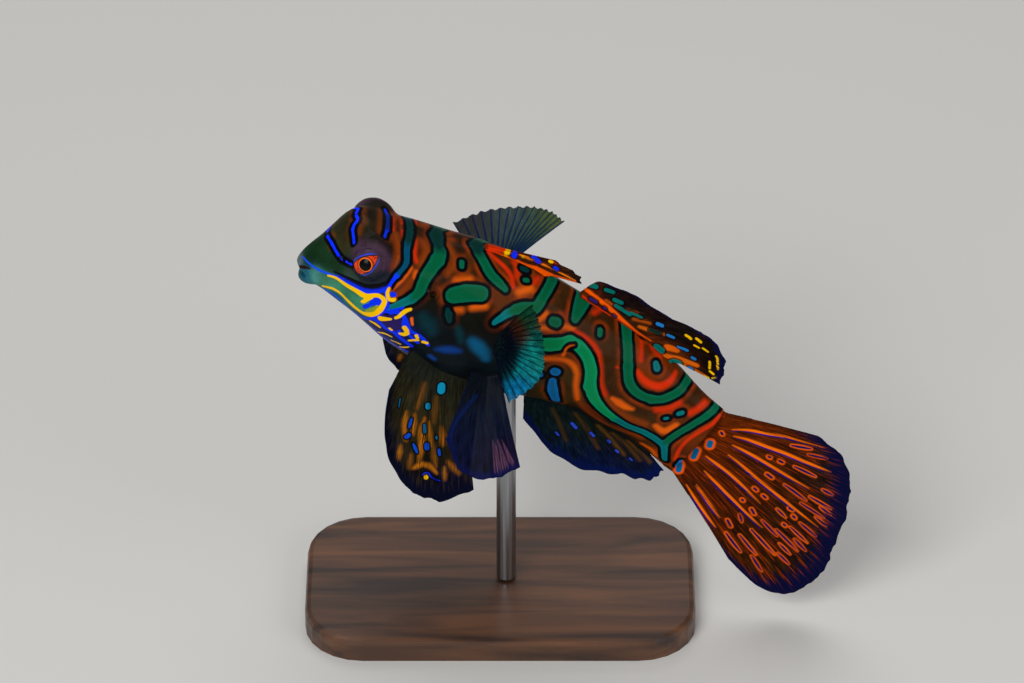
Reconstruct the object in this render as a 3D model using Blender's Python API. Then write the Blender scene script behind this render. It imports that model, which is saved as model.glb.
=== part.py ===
"""Mandarinfish, life size, in mid-swim on a plain display stand.

Sizes are in millimetres until a mesh is made, then metres, with +Z up. The fish faces -X, with
its left side towards -Y. It is shaped along its own axis, which starts at the mouth, tips
tail-down and swings a little to the left behind the trunk. The origin is the middle of the
stand's foot.
"""

import math

import bmesh
import bpy
import numpy as np
from mathutils import Matrix, Vector

MM = 0.001

# Driving sizes, in millimetres
BODY_LENGTH = 45.5          # mouth to the root of the tail fin
MOUTH_AT = (-19.9, 0.0, 40.6)
JOINT_GAP = 0.3             # clear space that touching pieces keep
HEAD_END = 13.6             # head and trunk part here, behind the gill opening
TRUNK_END = 35.0            # trunk and tail stem part here
LEFT = 1
RIGHT = -1

# The axis: how far it tips below the level and swings to the left, in degrees
PITCH = ((0, 2), (4, 7), (7, 15), (11, 22.5), (16, 26), (28, 28), (33, 31), (38, 36), (42, 39), (45.5, 35))
SWING = ((0, 0), (26, 0), (34, 4), (40, 8), (45, 10))

# Cross sections, by distance from the mouth: height above the axis, depth below it, half
# width, and how square the upper and the lower half are, where 2 is an ellipse
HEIGHT = ((0, 1.6), (0.4, 2.1), (1, 2.7), (2, 3.65), (3, 4.9), (4, 6.25), (5, 7.0), (6, 6.95), (7, 6.6),
          (8, 6.4), (10, 6.4), (12, 6.6), (16, 7.2), (20, 7.3), (24, 6.8), (28, 6.25), (34, 5.6), (38, 4.9),
          (42, 4.1), (45.5, 3.9))
DEPTH = ((0, 0.6), (0.4, 0.62), (1, 0.7), (2, 1.1), (3, 1.8), (4, 2.5), (6, 3.6), (8, 4.6), (10, 5.5), (12, 6.1),
         (16, 6.9), (20, 7.0), (24, 6.7), (28, 5.85), (31, 5.4), (36, 5.45), (40, 5.1), (45.5, 5.6))
HALF_WIDTH = ((0, 1.1), (0.4, 1.6), (1, 2.1), (2, 2.7), (4, 3.8), (6, 4.7), (8, 5.35), (10, 5.8), (13, 5.9),
              (20, 5.8), (24, 5.4), (28, 4.9), (32, 4.2), (36, 3.4), (40, 2.7), (43, 2.1), (45.5, 1.7))
UPPER_SQUARE = ((0, 2.0), (3, 2.3), (7, 2.6), (12, 2.2), (16, 2.0), (45, 2.0))
LOWER_SQUARE = ((0, 2.0), (5, 2.0), (10, 2.1), (18, 2.3), (28, 2.1), (45, 2.0))

# How closely the rings of each length of the body stand, and how many sides they have
HEAD_RINGS = (0.62, 44)
TRUNK_RINGS = (1.2, 36)
STEM_RINGS = (1.1, 32)

# The eyes stand in domes on top of the head
EYE_STATION = 6.4
EYE_SIDE = 3.4
EYE_HEIGHT = 4.2
DOME_RADIUS = 2.3
DOME_BLEND = 0.6
EYE_LOOKS = (-0.25, 0.94, 0.25)     # forward, outward and up, for the left eye
EYE_RADIUS = 1.7
EYE_STANDS_PROUD = 0.25
EYE_FACES = (20, 14)                 # round the ball and from pole to pole
SOCKET_FACES = (24, 16)
ORBIT_RADIUS = 1.62
ORBIT_RIM = 0.2
ORBIT_OUT = 0.68                     # from the ball's centre out to the rim's plane
ORBIT_FACES = (24, 8)

# Mouth: station, side and height of a corner, then each lip's station, height and radius
LIP_CORNER = (2.3, 1.8, -0.2)
LIPS = ((0.2, 0.92, 0.5), (0.25, -0.66, 0.42))
LIP_POINTS = 11
LIP_SIDES = 10
SLIT_AT = (0.2, 0.12)                # station and height of the slit's middle
SLIT_SIZE = (3.2, 3.3, 0.25)

# Nostril and gill pore: station, turn, radius and how far the rim stands off the skin
NOSTRIL = (3.7, 58.0, 0.27, 0.25)
GILL = (12.3, 63.0, 0.6, 0.22)
PORE_ROOT = -0.6                     # the rim starts this far under the skin
PORE_DEPTH = -0.35                   # and the bore ends here

# Fins
FIN_ROOT_THICK = 1.0
MEMBRANE_THICK = 0.5
FIN_TIP_THICK = 0.3
RAY_RIDGE = 0.3                      # how far a ray stands above the membrane, both faces together
TAIL_ROOT_THICK = 2.4

# Display stand
BASE_LENGTH = 40.0
BASE_WIDTH = 22.0
BASE_HEIGHT = 2.5
BASE_CORNER = 6.0
BASE_EDGE = 0.6
ROD_AT = 0.6                         # under the belly, between pelvic and anal fins
ROD_RADIUS = 1.0
ROD_SIDES = 20


def smooth(table, at):
    """The table's value at a place, on a smooth curve through its points."""
    places = np.array([row[0] for row in table], float)
    values = np.array([row[1] for row in table], float)
    slopes = np.gradient(values, places)
    at = np.clip(at, places[0], places[-1])
    i = np.clip(np.searchsorted(places, at) - 1, 0, len(places) - 2)
    step = places[i + 1] - places[i]
    u = (at - places[i]) / step
    start = (1 + 2 * u) * (1 - u) ** 2 * values[i] + u * (1 - u) ** 2 * step * slopes[i]
    end = u * u * (3 - 2 * u) * values[i + 1] - u * u * (1 - u) * step * slopes[i + 1]
    return start + end


def heading(s):
    """The directions towards the tail, to the fish's left and to its back at a station."""
    pitch = math.radians(smooth(PITCH, s))
    swing = math.radians(smooth(SWING, s))
    tail = np.array((math.cos(pitch) * math.cos(swing), -math.cos(pitch) * math.sin(swing), -math.sin(pitch)))
    left = np.array((-math.sin(swing), -math.cos(swing), 0.0))
    return tail, left, np.cross(left, tail)


AXIS_STEP = 0.1


def run_axis():
    """Points of the axis, every AXIS_STEP along it."""
    points = [np.array(MOUTH_AT)]
    for i in range(round(BODY_LENGTH / AXIS_STEP) + 20):
        points.append(points[-1] + heading((i + 0.5) * AXIS_STEP)[0] * AXIS_STEP)
    return np.array(points)


AXIS = run_axis()


def axis_at(s):
    """The axis at a station; ahead of the mouth it runs straight on."""
    if s < 0:
        return AXIS[0] + heading(0)[0] * s
    i = min(int(s / AXIS_STEP), len(AXIS) - 2)
    return AXIS[i] + (AXIS[i + 1] - AXIS[i]) * (s / AXIS_STEP - i)


def body_point(s, side, up):
    """A place by its station, its distance to the fish's left and its height above the axis."""
    _, left, back = heading(s)
    return axis_at(s) + left * side + back * up


def eye_centre(side):
    return body_point(EYE_STATION, side * EYE_SIDE, EYE_HEIGHT)


def larger(a, b, blend):
    """The larger of two lengths, with a fillet where they are nearly equal."""
    mix = min(max(0.5 + 0.5 * (a - b) / blend, 0.0), 1.0)
    return b + (a - b) * mix + blend * mix * (1 - mix)


def reach_of_dome(start, direction, centre):
    """How far from start, along direction, the dome's surface lies, or would lie."""
    along = float(np.dot(centre - start, direction))
    miss = float(np.dot(centre - start, centre - start)) - along * along
    inside = DOME_RADIUS ** 2 - miss
    return along + math.sqrt(inside) if inside > 0 else along + inside


def skin(s, turn):
    """A point of the skin: turn is in degrees from the back's ridge, left side positive."""
    angle = math.radians(turn)
    across = math.sin(angle)
    above = math.cos(angle)
    power = 2.0 / float(smooth(UPPER_SQUARE if above > 0 else LOWER_SQUARE, s))
    reach = float(smooth(HEIGHT if above > 0 else DEPTH, s))
    side = math.copysign(abs(across) ** power, across) * float(smooth(HALF_WIDTH, s))
    up = math.copysign(abs(above) ** power, above) * reach
    point = body_point(s, side, up)
    if abs(s - EYE_STATION) > DOME_RADIUS + 1 or above < 0:
        return point
    start = axis_at(s)
    length = float(np.linalg.norm(point - start))
    direction = (point - start) / length
    for eye in (LEFT, RIGHT):
        if eye * across >= 0:
            length = larger(length, reach_of_dome(start, direction, eye_centre(eye)), DOME_BLEND)
    return start + direction * length


def lifted(s, turn, lift):
    """A point that stands off the skin by lift, along its outward normal."""
    along = skin(s + 0.1, turn) - skin(s - 0.1, turn)
    around = skin(s, turn + 1) - skin(s, turn - 1)
    normal = np.cross(around, along)
    return skin(s, turn) + normal / np.linalg.norm(normal) * lift


def clear_scene():
    for obj in list(bpy.data.objects):
        bpy.data.objects.remove(obj)


def collection_named(name):
    collection = bpy.data.collections.new(name)
    bpy.context.scene.collection.children.link(collection)
    return collection


def paint(name, colour, roughness, metallic=0.0):
    material = bpy.data.materials.new(name)
    material.use_nodes = True
    shader = material.node_tree.nodes["Principled BSDF"]
    shader.inputs["Base Color"].default_value = (*colour, 1.0)
    shader.inputs["Roughness"].default_value = roughness
    shader.inputs["Metallic"].default_value = metallic
    return material


def add_object(name, bm, material, home):
    """Links a mesh given in millimetres as an object in metres."""
    bmesh.ops.scale(bm, vec=(MM, MM, MM), verts=bm.verts)
    bmesh.ops.recalc_face_normals(bm, faces=bm.faces)
    mesh = bpy.data.meshes.new(name)
    bm.to_mesh(mesh)
    bm.free()
    mesh.materials.append(material)
    mesh.shade_smooth()
    obj = bpy.data.objects.new(name, mesh)
    home.objects.link(obj)
    return obj


def loft(rings):
    """A closed mesh through rings of equal count, with a flat cap at each end."""
    bm = bmesh.new()
    rows = [[bm.verts.new(point) for point in ring] for ring in rings]
    count = len(rows[0])
    for a, b in zip(rows, rows[1:]):
        for i in range(count):
            j = (i + 1) % count
            bm.faces.new((a[i], a[j], b[j], b[i]))
    for row in (rows[0], rows[-1]):
        middle = bm.verts.new(sum((v.co for v in row), Vector()) / count)
        for i in range(count):
            bm.faces.new((middle, row[i], row[(i + 1) % count]))
    return bm


def sheet(front, back):
    """A closed thin mesh between two grids of points, split into triangles alike on both."""
    bm = bmesh.new()
    near = [[bm.verts.new(point) for point in row] for row in front]
    far = [[bm.verts.new(point) for point in row] for row in back]
    rows = len(near)
    columns = len(near[0])
    for grid in (near, far):
        for i in range(rows - 1):
            for j in range(columns - 1):
                bm.faces.new((grid[i][j], grid[i][j + 1], grid[i + 1][j + 1]))
                bm.faces.new((grid[i][j], grid[i + 1][j + 1], grid[i + 1][j]))
    for i in range(rows - 1):
        for j in (0, columns - 1):
            bm.faces.new((near[i][j], near[i + 1][j], far[i + 1][j], far[i][j]))
    for j in range(columns - 1):
        for i in (0, rows - 1):
            bm.faces.new((near[i][j], near[i][j + 1], far[i][j + 1], far[i][j]))
    return bm


def body_length(start, end, spacing, sides):
    """The rings of a length of the body, from one station to another."""
    count = max(2, round((end - start) / spacing) + 1)
    turns = [360.0 * i / sides for i in range(sides)]
    return [[skin(s, turn) for turn in turns] for s in np.linspace(start, end, count)]


def fused(obj, others, operation, home):
    """Joins or cuts the object with others, and leaves one closed body."""
    tools = collection_named("cutters of " + obj.name)
    for other in others:
        home.objects.unlink(other)
        tools.objects.link(other)
    modifier = obj.modifiers.new("fuse", "BOOLEAN")
    modifier.operand_type = "COLLECTION"
    modifier.collection = tools
    modifier.operation = operation
    modifier.solver = "EXACT"
    graph = bpy.context.evaluated_depsgraph_get()
    result = bpy.data.meshes.new_from_object(obj.evaluated_get(graph))
    obj.modifiers.remove(modifier)
    obj.data = result
    for other in others:
        bpy.data.objects.remove(other)
    bpy.data.collections.remove(tools)
    keep_largest(obj)


def keep_largest(obj):
    """Drops every loose scrap and sealed hollow, and splits the faces into triangles."""
    bm = bmesh.new()
    bm.from_mesh(obj.data)
    bmesh.ops.remove_doubles(bm, verts=bm.verts, dist=1e-6)
    bmesh.ops.dissolve_degenerate(bm, edges=bm.edges, dist=1e-6)
    bmesh.ops.triangulate(bm, faces=bm.faces)
    left = set(bm.faces)
    shells = []
    while left:
        shell = {left.pop()}
        rim = list(shell)
        while rim:
            for edge in rim.pop().edges:
                for face in edge.link_faces:
                    if face in left:
                        left.remove(face)
                        shell.add(face)
                        rim.append(face)
        shells.append(shell)
    biggest = max(shells, key=lambda shell: sum(face.calc_area() for face in shell))
    scraps = [face for face in bm.faces if face not in biggest]
    bmesh.ops.delete(bm, geom=scraps, context="FACES")
    bm.to_mesh(obj.data)
    bm.free()


def tube(points, radii, sides):
    """A closed tube along points, with a radius at each."""
    rings = []
    for i, point in enumerate(points):
        ahead = Vector(points[min(i + 1, len(points) - 1)]) - Vector(points[max(i - 1, 0)])
        turn = ahead.to_track_quat("Z", "Y").to_matrix()
        ring = []
        for k in range(sides):
            angle = 2 * math.pi * k / sides
            ring.append(Vector(point) + turn @ Vector((math.cos(angle), math.sin(angle), 0)) * radii[i])
        rings.append(ring)
    return loft(rings)


def lip(station, height, radius):
    """One lip: a tube that bows forward from one mouth corner to the other."""
    points = []
    radii = []
    for i in range(LIP_POINTS):
        angle = math.pi * i / (LIP_POINTS - 1)
        inward = math.sin(angle)
        s = LIP_CORNER[0] + (station - LIP_CORNER[0]) * inward
        up = LIP_CORNER[2] + (height - LIP_CORNER[2]) * inward ** 0.6
        points.append(body_point(s, LIP_CORNER[1] * math.cos(angle), up))
        radii.append(radius * (0.45 + 0.55 * inward ** 0.7))
    return tube(points, radii, LIP_SIDES)


def mouth_slit():
    """A thin wedge that parts the lips."""
    bm = bmesh.new()
    place = Matrix.Translation(Vector(body_point(SLIT_AT[0], 0, SLIT_AT[1])))
    bmesh.ops.create_cube(bm, size=1.0, matrix=place @ Matrix.Diagonal((*SLIT_SIZE, 1)))
    return bm


def ring_on(centre, normal, major, minor, around, sides):
    """A closed ring that lies flat to normal."""
    turn = Vector(normal).to_track_quat("Z", "Y").to_matrix()
    rings = []
    for i in range(around):
        angle = 2 * math.pi * i / around
        out = Vector((math.cos(angle), math.sin(angle), 0))
        ring = []
        for k in range(sides):
            bend = 2 * math.pi * k / sides
            place = out * (major + minor * math.cos(bend)) + Vector((0, 0, minor * math.sin(bend)))
            ring.append(Vector(centre) + turn @ place)
        rings.append(ring)
    bm = bmesh.new()
    rows = [[bm.verts.new(point) for point in ring] for ring in rings]
    for i in range(around):
        a = rows[i]
        b = rows[(i + 1) % around]
        for k in range(sides):
            j = (k + 1) % sides
            bm.faces.new((a[k], a[j], b[j], b[k]))
    return bm


def ball(centre, radius, around, rings):
    bm = bmesh.new()
    place = Matrix.Translation(Vector(centre))
    bmesh.ops.create_uvsphere(bm, u_segments=around, v_segments=rings, radius=radius, matrix=place)
    return bm


def gaze(side):
    """The direction in which an eye looks."""
    forward, outward, up = EYE_LOOKS
    return np.array((forward, -side * outward, up)) / np.linalg.norm(EYE_LOOKS)


def eyeball_centre(side):
    return eye_centre(side) + gaze(side) * (DOME_RADIUS + EYE_STANDS_PROUD - EYE_RADIUS)


def pore(station, turn, radius, height):
    """The rim of a small opening, as a short tube that stands on the skin, and its bore."""
    low = lifted(station, turn, PORE_ROOT)
    top = lifted(station, turn, height)
    above = lifted(station, turn, height + JOINT_GAP)
    inner = lifted(station, turn, PORE_DEPTH)
    outer = tube([low, top], [radius * 1.25, radius], 10)
    bore = tube([inner, above], [radius * 0.5, radius * 0.55], 8)
    return outer, bore


def make_head(home, material):
    rings = body_length(0.0, HEAD_END - JOINT_GAP / 2, *HEAD_RINGS)
    head = add_object("head", loft(rings), material, home)
    added = [add_object("lip", lip(*sizes), material, home) for sizes in LIPS]
    cut = [add_object("slit", mouth_slit(), material, home)]
    for side in (LEFT, RIGHT):
        rim_at = eyeball_centre(side) + gaze(side) * ORBIT_OUT
        rim = ring_on(rim_at, gaze(side), ORBIT_RADIUS, ORBIT_RIM, *ORBIT_FACES)
        added.append(add_object("orbit", rim, material, home))
        socket = ball(eyeball_centre(side), EYE_RADIUS + JOINT_GAP, *SOCKET_FACES)
        cut.append(add_object("socket", socket, material, home))
        for station, turn, radius, height in (NOSTRIL, GILL):
            outer, bore = pore(station, side * turn, radius, height)
            added.append(add_object("rim", outer, material, home))
            cut.append(add_object("bore", bore, material, home))
    fused(head, added, "UNION", home)
    fused(head, cut, "DIFFERENCE", home)
    return head


def make_eye(side, home, material):
    name = "eye_left" if side == LEFT else "eye_right"
    return add_object(name, ball(eyeball_centre(side), EYE_RADIUS, *EYE_FACES), material, home)


def fin(rays, columns_per_ray, rows, root_thick=FIN_ROOT_THICK, ridge=RAY_RIDGE, scallop=0.05):
    """A fin as a thin closed sheet, with each ray a ridge in its own surface.

    rays is a function from 0 to 1 across the fin, to a ray's root, its direction, its length
    and how far its tip bends; it has .count rays.
    """
    count = rays.count
    columns = (count - 1) * columns_per_ray + 1
    middle = np.zeros((rows + 1, columns, 3))
    thick = np.zeros((rows + 1, columns))
    for j in range(columns):
        root, direction, length, bend = rays(j / (columns - 1))
        on_ray = 0.5 + 0.5 * math.cos(2 * math.pi * j / columns_per_ray)
        length *= 1 - scallop * (1 - on_ray)
        for i in range(rows + 1):
            v = i / rows
            middle[i, j] = root + direction * length * v + bend * v * v
            membrane = MEMBRANE_THICK + (root_thick - MEMBRANE_THICK) * max(0.0, 1 - 3.5 * v) ** 1.5
            membrane -= (MEMBRANE_THICK - FIN_TIP_THICK) * v ** 4
            thick[i, j] = membrane + ridge * on_ray * math.sin(math.pi * min(1.0, 0.08 + v) ** 0.7)
    along = np.gradient(middle, axis=0)
    across = np.gradient(middle, axis=1)
    normal = np.cross(along, across)
    normal /= np.linalg.norm(normal, axis=2, keepdims=True)
    half = normal * thick[:, :, None] / 2
    return sheet(middle + half, middle - half)


class MedianRays:
    """Rays along the back (up = 1) or belly (up = -1), from key rays given as rows.

    Each row holds the ray's place across the fin, its root's station, its angle from the
    body's axis and its lean to the left in degrees, its length, and its tip's bend upwards.
    """

    def __init__(self, count, up, rows):
        self.count = count
        self.up = up
        self.rows = rows

    def column(self, k, u):
        return float(smooth([(row[0], row[k]) for row in self.rows], u))

    def __call__(self, u):
        station, angle, lean, length, bend = (self.column(k, u) for k in range(1, 6))
        tail, left, back = heading(station)
        angle = math.radians(angle)
        lean = math.radians(lean)
        rise = back * math.cos(lean) * self.up + left * math.sin(lean)
        root = lifted(station, 0 if self.up > 0 else 180, JOINT_GAP)
        direction = tail * math.cos(angle) + rise * math.sin(angle)
        return root, direction, length, rise * bend


class PairedRays:
    """Rays of a fin on the flank, from key rays given as rows.

    Each row holds the ray's place across the fin, its root's station and turn on the skin,
    how far it points back from straight outward and how far it rises above the level in
    degrees, its length, and how far its tip bends back and up.
    """

    def __init__(self, count, side, rows, lift=JOINT_GAP):
        self.count = count
        self.side = side
        self.rows = rows
        self.lift = lift

    def column(self, k, u):
        return float(smooth([(row[0], row[k]) for row in self.rows], u))

    def __call__(self, u):
        station, turn, sweep, rise, length, back, up = (self.column(k, u) for k in range(1, 8))
        sweep = math.radians(sweep)
        rise = math.radians(rise)
        level = math.cos(rise)
        direction = np.array((level * math.sin(sweep), -self.side * level * math.cos(sweep), math.sin(rise)))
        root = lifted(station, self.side * turn, self.lift)
        return root, direction, length, np.array((back, 0.0, up))


# Each row: place across the fin, station, angle from the axis, lean, length, bend
FIRST_DORSAL = (
    (0.0, 16.0, 10, 0, 7.2, 0.0),
    (0.5, 19.5, 8, 0, 6.2, 0.0),
    (1.0, 22.9, 7, 0, 3.5, 0.0),
)
SECOND_DORSAL = (
    (0.0, 26.8, 74, 0, 3.8, -1.6),
    (0.3, 30.0, 41, 12, 7.5, -2.3),
    (0.6, 33.4, 40, 28, 9.5, -1.8),
    (1.0, 37.8, 23, 42, 5.4, -0.4),
)
ANAL = (
    (0.0, 27.3, 66, 0, 3.4, 0.0),
    (0.25, 30.6, 48, 0, 8.6, 0.0),
    (0.5, 34.5, 30, 0, 8.7, 0.0),
    (0.75, 38.5, 20, 0, 7.0, 0.0),
    (1.0, 43.0, 12, 0, 2.6, 0.0),
)

# The tail fin: place across the fin, root's height, angle, length
TAIL = (
    (0.0, 3.6, 28, 9.6),
    (0.12, 2.9, 23, 12.6),
    (0.35, 1.2, 13, 15.6),
    (0.55, -0.6, 1, 17.4),
    (0.75, -2.8, -11, 19.2),
    (0.88, -4.3, -19, 18.2),
    (0.95, -5.0, -22, 15.6),
    (1.0, -5.4, -24, 11.6),
)
TAIL_RAYS = 10


class TailRays:
    """The tail fin's rays, which fan out from the end of the tail stem."""

    count = TAIL_RAYS

    def __call__(self, u):
        height, angle, length = (float(smooth([(row[0], row[k]) for row in TAIL], u)) for k in (1, 2, 3))
        tail, left, back = heading(BODY_LENGTH)
        angle = math.radians(angle)
        root = axis_at(BODY_LENGTH) + tail * JOINT_GAP + back * height
        direction = tail * math.cos(angle) + back * math.sin(angle)
        return root, direction, length, left * 0.8


# Paired fins: place across the fin, station, turn, sweep back, rise, length, bend back and up
LEFT_PECTORAL = (
    (0.0, 20.2, 72, 28, 54, 8.2, 0.6, -0.4),
    (0.35, 20.4, 78, 34, 30, 7.7, 0.6, -0.2),
    (0.7, 20.6, 84, 28, 8, 7.3, 0.6, -0.2),
    (1.0, 20.6, 90, 8, -9, 6.8, 0.4, -0.3),
)
RIGHT_PECTORAL = (
    (0.0, 20.2, 72, 46, 14, 8.2, 0.8, 0.2),
    (0.35, 20.4, 78, 24, 17, 9.2, 0.6, 0.4),
    (0.7, 20.6, 84, -2, 15, 9.4, 0.2, 0.4),
    (1.0, 20.6, 90, -26, 13, 9.2, -0.2, 0.4),
)
PELVIC = (
    (0.0, 13.2, 130, -38, -33, 4.3, 0.0, 0.0),
    (0.2, 14.2, 131, -42, -58, 10.0, 0.4, 0.0),
    (0.5, 15.6, 133, -24, -63, 12.8, 0.4, 0.0),
    (0.75, 17.2, 136, -7, -65, 13.0, 0.4, 0.0),
    (1.0, 20.0, 137, 3, -48, 10.8, 0.4, 0.0),
)
WEB = (
    (0.0, 19.8, 117, -30, -36, 6.4, 0.0, -1.0),
    (0.3, 20.5, 116, -16, -44, 9.0, 0.0, -1.0),
    (0.7, 21.4, 114, 4, -44, 9.4, 0.4, -1.0),
    (1.0, 22.2, 108, 16, -44, 8.6, 0.4, -1.0),
)


def make_fins(home, paints):
    add_object("dorsal_fin_first", fin(MedianRays(4, 1, FIRST_DORSAL), 2, 7), paints["orange"], home)
    add_object("dorsal_fin_second", fin(MedianRays(8, 1, SECOND_DORSAL), 2, 7), paints["orange"], home)
    add_object("anal_fin", fin(MedianRays(8, -1, ANAL), 2, 7), paints["navy"], home)
    tail = fin(TailRays(), 2, 9, root_thick=TAIL_ROOT_THICK)
    add_object("caudal_fin", tail, paints["navy"], home)
    for side, word, rows in ((LEFT, "left", LEFT_PECTORAL), (RIGHT, "right", RIGHT_PECTORAL)):
        pectoral = fin(PairedRays(16, side, rows), 2, 5, ridge=0.2)
        add_object("pectoral_fin_" + word, pectoral, paints["teal"], home)
        pelvic = fin(PairedRays(6, side, PELVIC), 4, 7)
        add_object("pelvic_fin_" + word, pelvic, paints["navy"], home)
        web = fin(PairedRays(5, side, WEB), 2, 6)
        add_object("pelvic_web_" + word, web, paints["navy"], home)


def make_stand(home, wood, steel):
    bm = bmesh.new()
    place = Matrix.Translation((0, 0, BASE_HEIGHT / 2)) @ Matrix.Diagonal((BASE_LENGTH, BASE_WIDTH, BASE_HEIGHT, 1))
    bmesh.ops.create_cube(bm, size=1.0, matrix=place)
    corners = [edge for edge in bm.edges if abs(edge.verts[0].co.z - edge.verts[1].co.z) > 1]
    bmesh.ops.bevel(bm, geom=corners, offset=BASE_CORNER, segments=6, affect="EDGES", profile=0.5)
    rim = [edge for edge in bm.edges if min(v.co.z for v in edge.verts) > BASE_HEIGHT - 0.01]
    bmesh.ops.bevel(bm, geom=rim, offset=BASE_EDGE, segments=2, affect="EDGES", profile=0.5)
    add_object("stand_base", bm, wood, home)
    low = BASE_HEIGHT + JOINT_GAP
    bm = bmesh.new()
    bmesh.ops.create_cone(bm, cap_ends=True, segments=ROD_SIDES, radius1=ROD_RADIUS, radius2=ROD_RADIUS, depth=1.0)
    belly = min((skin(s, 180) for s in np.arange(16, 30, 0.1)), key=lambda point: abs(point[0] - ROD_AT))
    slope = math.tan(math.radians(float(smooth(PITCH, 22))))
    for vert in bm.verts:
        x = vert.co.x
        top = belly[2] - slope * x - JOINT_GAP * 1.15
        vert.co.z = low if vert.co.z < 0 else top
        vert.co.x = x + ROD_AT
    add_object("stand_rod", bm, steel, home)


def build():
    clear_scene()
    home = collection_named("mandarinfish")
    skin_paint = paint("brown and green skin", (0.12, 0.09, 0.04), 0.4)
    paints = {
        "orange": paint("orange fin", (0.6, 0.12, 0.02), 0.45),
        "navy": paint("navy fin", (0.03, 0.05, 0.2), 0.45),
        "teal": paint("teal fin", (0.02, 0.25, 0.25), 0.45),
    }
    eye_paint = paint("eye", (0.6, 0.08, 0.02), 0.15)
    wood = paint("dark stained wood", (0.07, 0.03, 0.015), 0.4)
    steel = paint("steel rod", (0.55, 0.55, 0.56), 0.3, 1.0)
    make_head(home, skin_paint)
    half = JOINT_GAP / 2
    trunk = body_length(HEAD_END + half, TRUNK_END - half, *TRUNK_RINGS)
    add_object("trunk", loft(trunk), skin_paint, home)
    stem = body_length(TRUNK_END + half, BODY_LENGTH, *STEM_RINGS)
    add_object("tail_stem", loft(stem), skin_paint, home)
    for side in (LEFT, RIGHT):
        make_eye(side, home, eye_paint)
    make_fins(home, paints)
    make_stand(home, wood, steel)


build()
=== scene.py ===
"""The looks of the life-size mandarinfish model on its display stand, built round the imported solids.

Shapes are worked out in millimetres, in the frame of the solids: the fish faces -X with its left
side towards -Y, and +Z is up. Each mesh is turned to metres when its piece is made.
"""

import math

import bpy
import numpy as np
from mathutils import Matrix, Vector


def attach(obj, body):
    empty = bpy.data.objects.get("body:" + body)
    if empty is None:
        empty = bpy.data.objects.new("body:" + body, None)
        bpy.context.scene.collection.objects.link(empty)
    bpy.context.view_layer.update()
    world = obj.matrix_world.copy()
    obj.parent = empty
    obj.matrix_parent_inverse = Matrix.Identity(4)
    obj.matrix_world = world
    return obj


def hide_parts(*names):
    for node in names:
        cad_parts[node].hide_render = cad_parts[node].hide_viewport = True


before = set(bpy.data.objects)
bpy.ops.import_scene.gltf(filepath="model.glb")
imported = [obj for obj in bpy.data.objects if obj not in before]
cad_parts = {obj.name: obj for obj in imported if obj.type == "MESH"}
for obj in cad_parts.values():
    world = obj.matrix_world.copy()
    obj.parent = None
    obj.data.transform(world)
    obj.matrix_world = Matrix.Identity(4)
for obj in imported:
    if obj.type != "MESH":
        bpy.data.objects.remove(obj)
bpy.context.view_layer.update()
scene = bpy.context.scene
METRES = 0.001                 # from millimetres

# The camera looks at the fish's left side from the picture's angle, 34 degrees above it. The
# picture is 1024 x 683 pixels, and markings further down are placed by the pixels they cover.
PICTURE = (1024, 683)
SENSOR = 36.0
LENS = 200.0
LOOK_DOWN = math.radians(34.0)
LOOK_FROM = 568.9                        # mm from the point it looks at
LOOK_AT = np.array((1.2, -1.03, 32.48))  # mm
SIGHT = np.array((0.0, math.cos(LOOK_DOWN), -math.sin(LOOK_DOWN)))
UPRIGHT = np.array((0.0, math.sin(LOOK_DOWN), math.cos(LOOK_DOWN)))
EYE_POINT = LOOK_AT - SIGHT * LOOK_FROM

camera = bpy.data.objects.new("camera", bpy.data.cameras.new("camera"))
camera.data.lens = LENS
camera.data.sensor_width = SENSOR
camera.data.clip_start = 0.01
camera.data.clip_end = 20.0
camera.location = EYE_POINT / 1000
camera.rotation_euler = (math.pi / 2 - LOOK_DOWN, 0.0, 0.0)
scene.collection.objects.link(camera)
scene.camera = camera
scene.view_settings.view_transform = "Standard"


def pixels_of(points):
    """Where points in mm stand in the picture, and how far they are from the camera."""
    out = points - EYE_POINT
    depth = out @ SIGHT
    per_unit = LENS / SENSOR * PICTURE[0] / depth
    x = PICTURE[0] / 2 + out[..., 0] * per_unit
    y = PICTURE[1] / 2 - (out @ UPRIGHT) * per_unit
    return x, y, depth


# The body: bare, scaleless skin under a thin coat of mucus, in one piece from the lips to the
# root of the tail fin. It is lofted from the same sizes as the solid head, trunk and tail stem,
# and lips, eye rims, nostrils and gill pores grow out of it.
BODY_LENGTH = 45.5
MOUTH_AT = (-19.9, 0.0, 40.6)
LEFT = 1
RIGHT = -1
PITCH = ((0, 2), (4, 7), (7, 15), (11, 22.5), (16, 26), (28, 28), (33, 31), (38, 36), (42, 39), (45.5, 35))
SWING = ((0, 0), (26, 0), (34, 4), (40, 8), (45, 10))
HEIGHT = ((0, 1.6), (0.4, 2.1), (1, 2.7), (2, 3.65), (3, 4.9), (4, 6.25), (5, 7.0), (6, 6.95), (7, 6.6),
          (8, 6.4), (10, 6.4), (12, 6.6), (16, 7.2), (20, 7.3), (24, 6.8), (28, 6.25), (34, 5.6), (38, 4.9),
          (42, 4.1), (45.5, 3.9))
DEPTH = ((0, 0.6), (0.4, 0.62), (1, 0.7), (2, 1.1), (3, 1.8), (4, 2.5), (6, 3.6), (8, 4.6),
         (10, 5.5), (12, 6.1), (16, 6.9), (20, 7.0), (24, 6.7), (28, 5.85), (31, 5.4), (36, 5.45), (40, 5.1),
         (45.5, 5.6))
HALF_WIDTH = ((0, 1.1), (0.4, 1.6), (1, 2.1), (2, 2.7), (4, 3.8), (6, 4.7), (8, 5.35), (10, 5.8), (13, 5.9),
              (20, 5.8), (24, 5.4), (28, 4.9), (32, 4.2), (36, 3.4), (40, 2.7), (43, 2.1), (45.5, 1.7))
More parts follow.
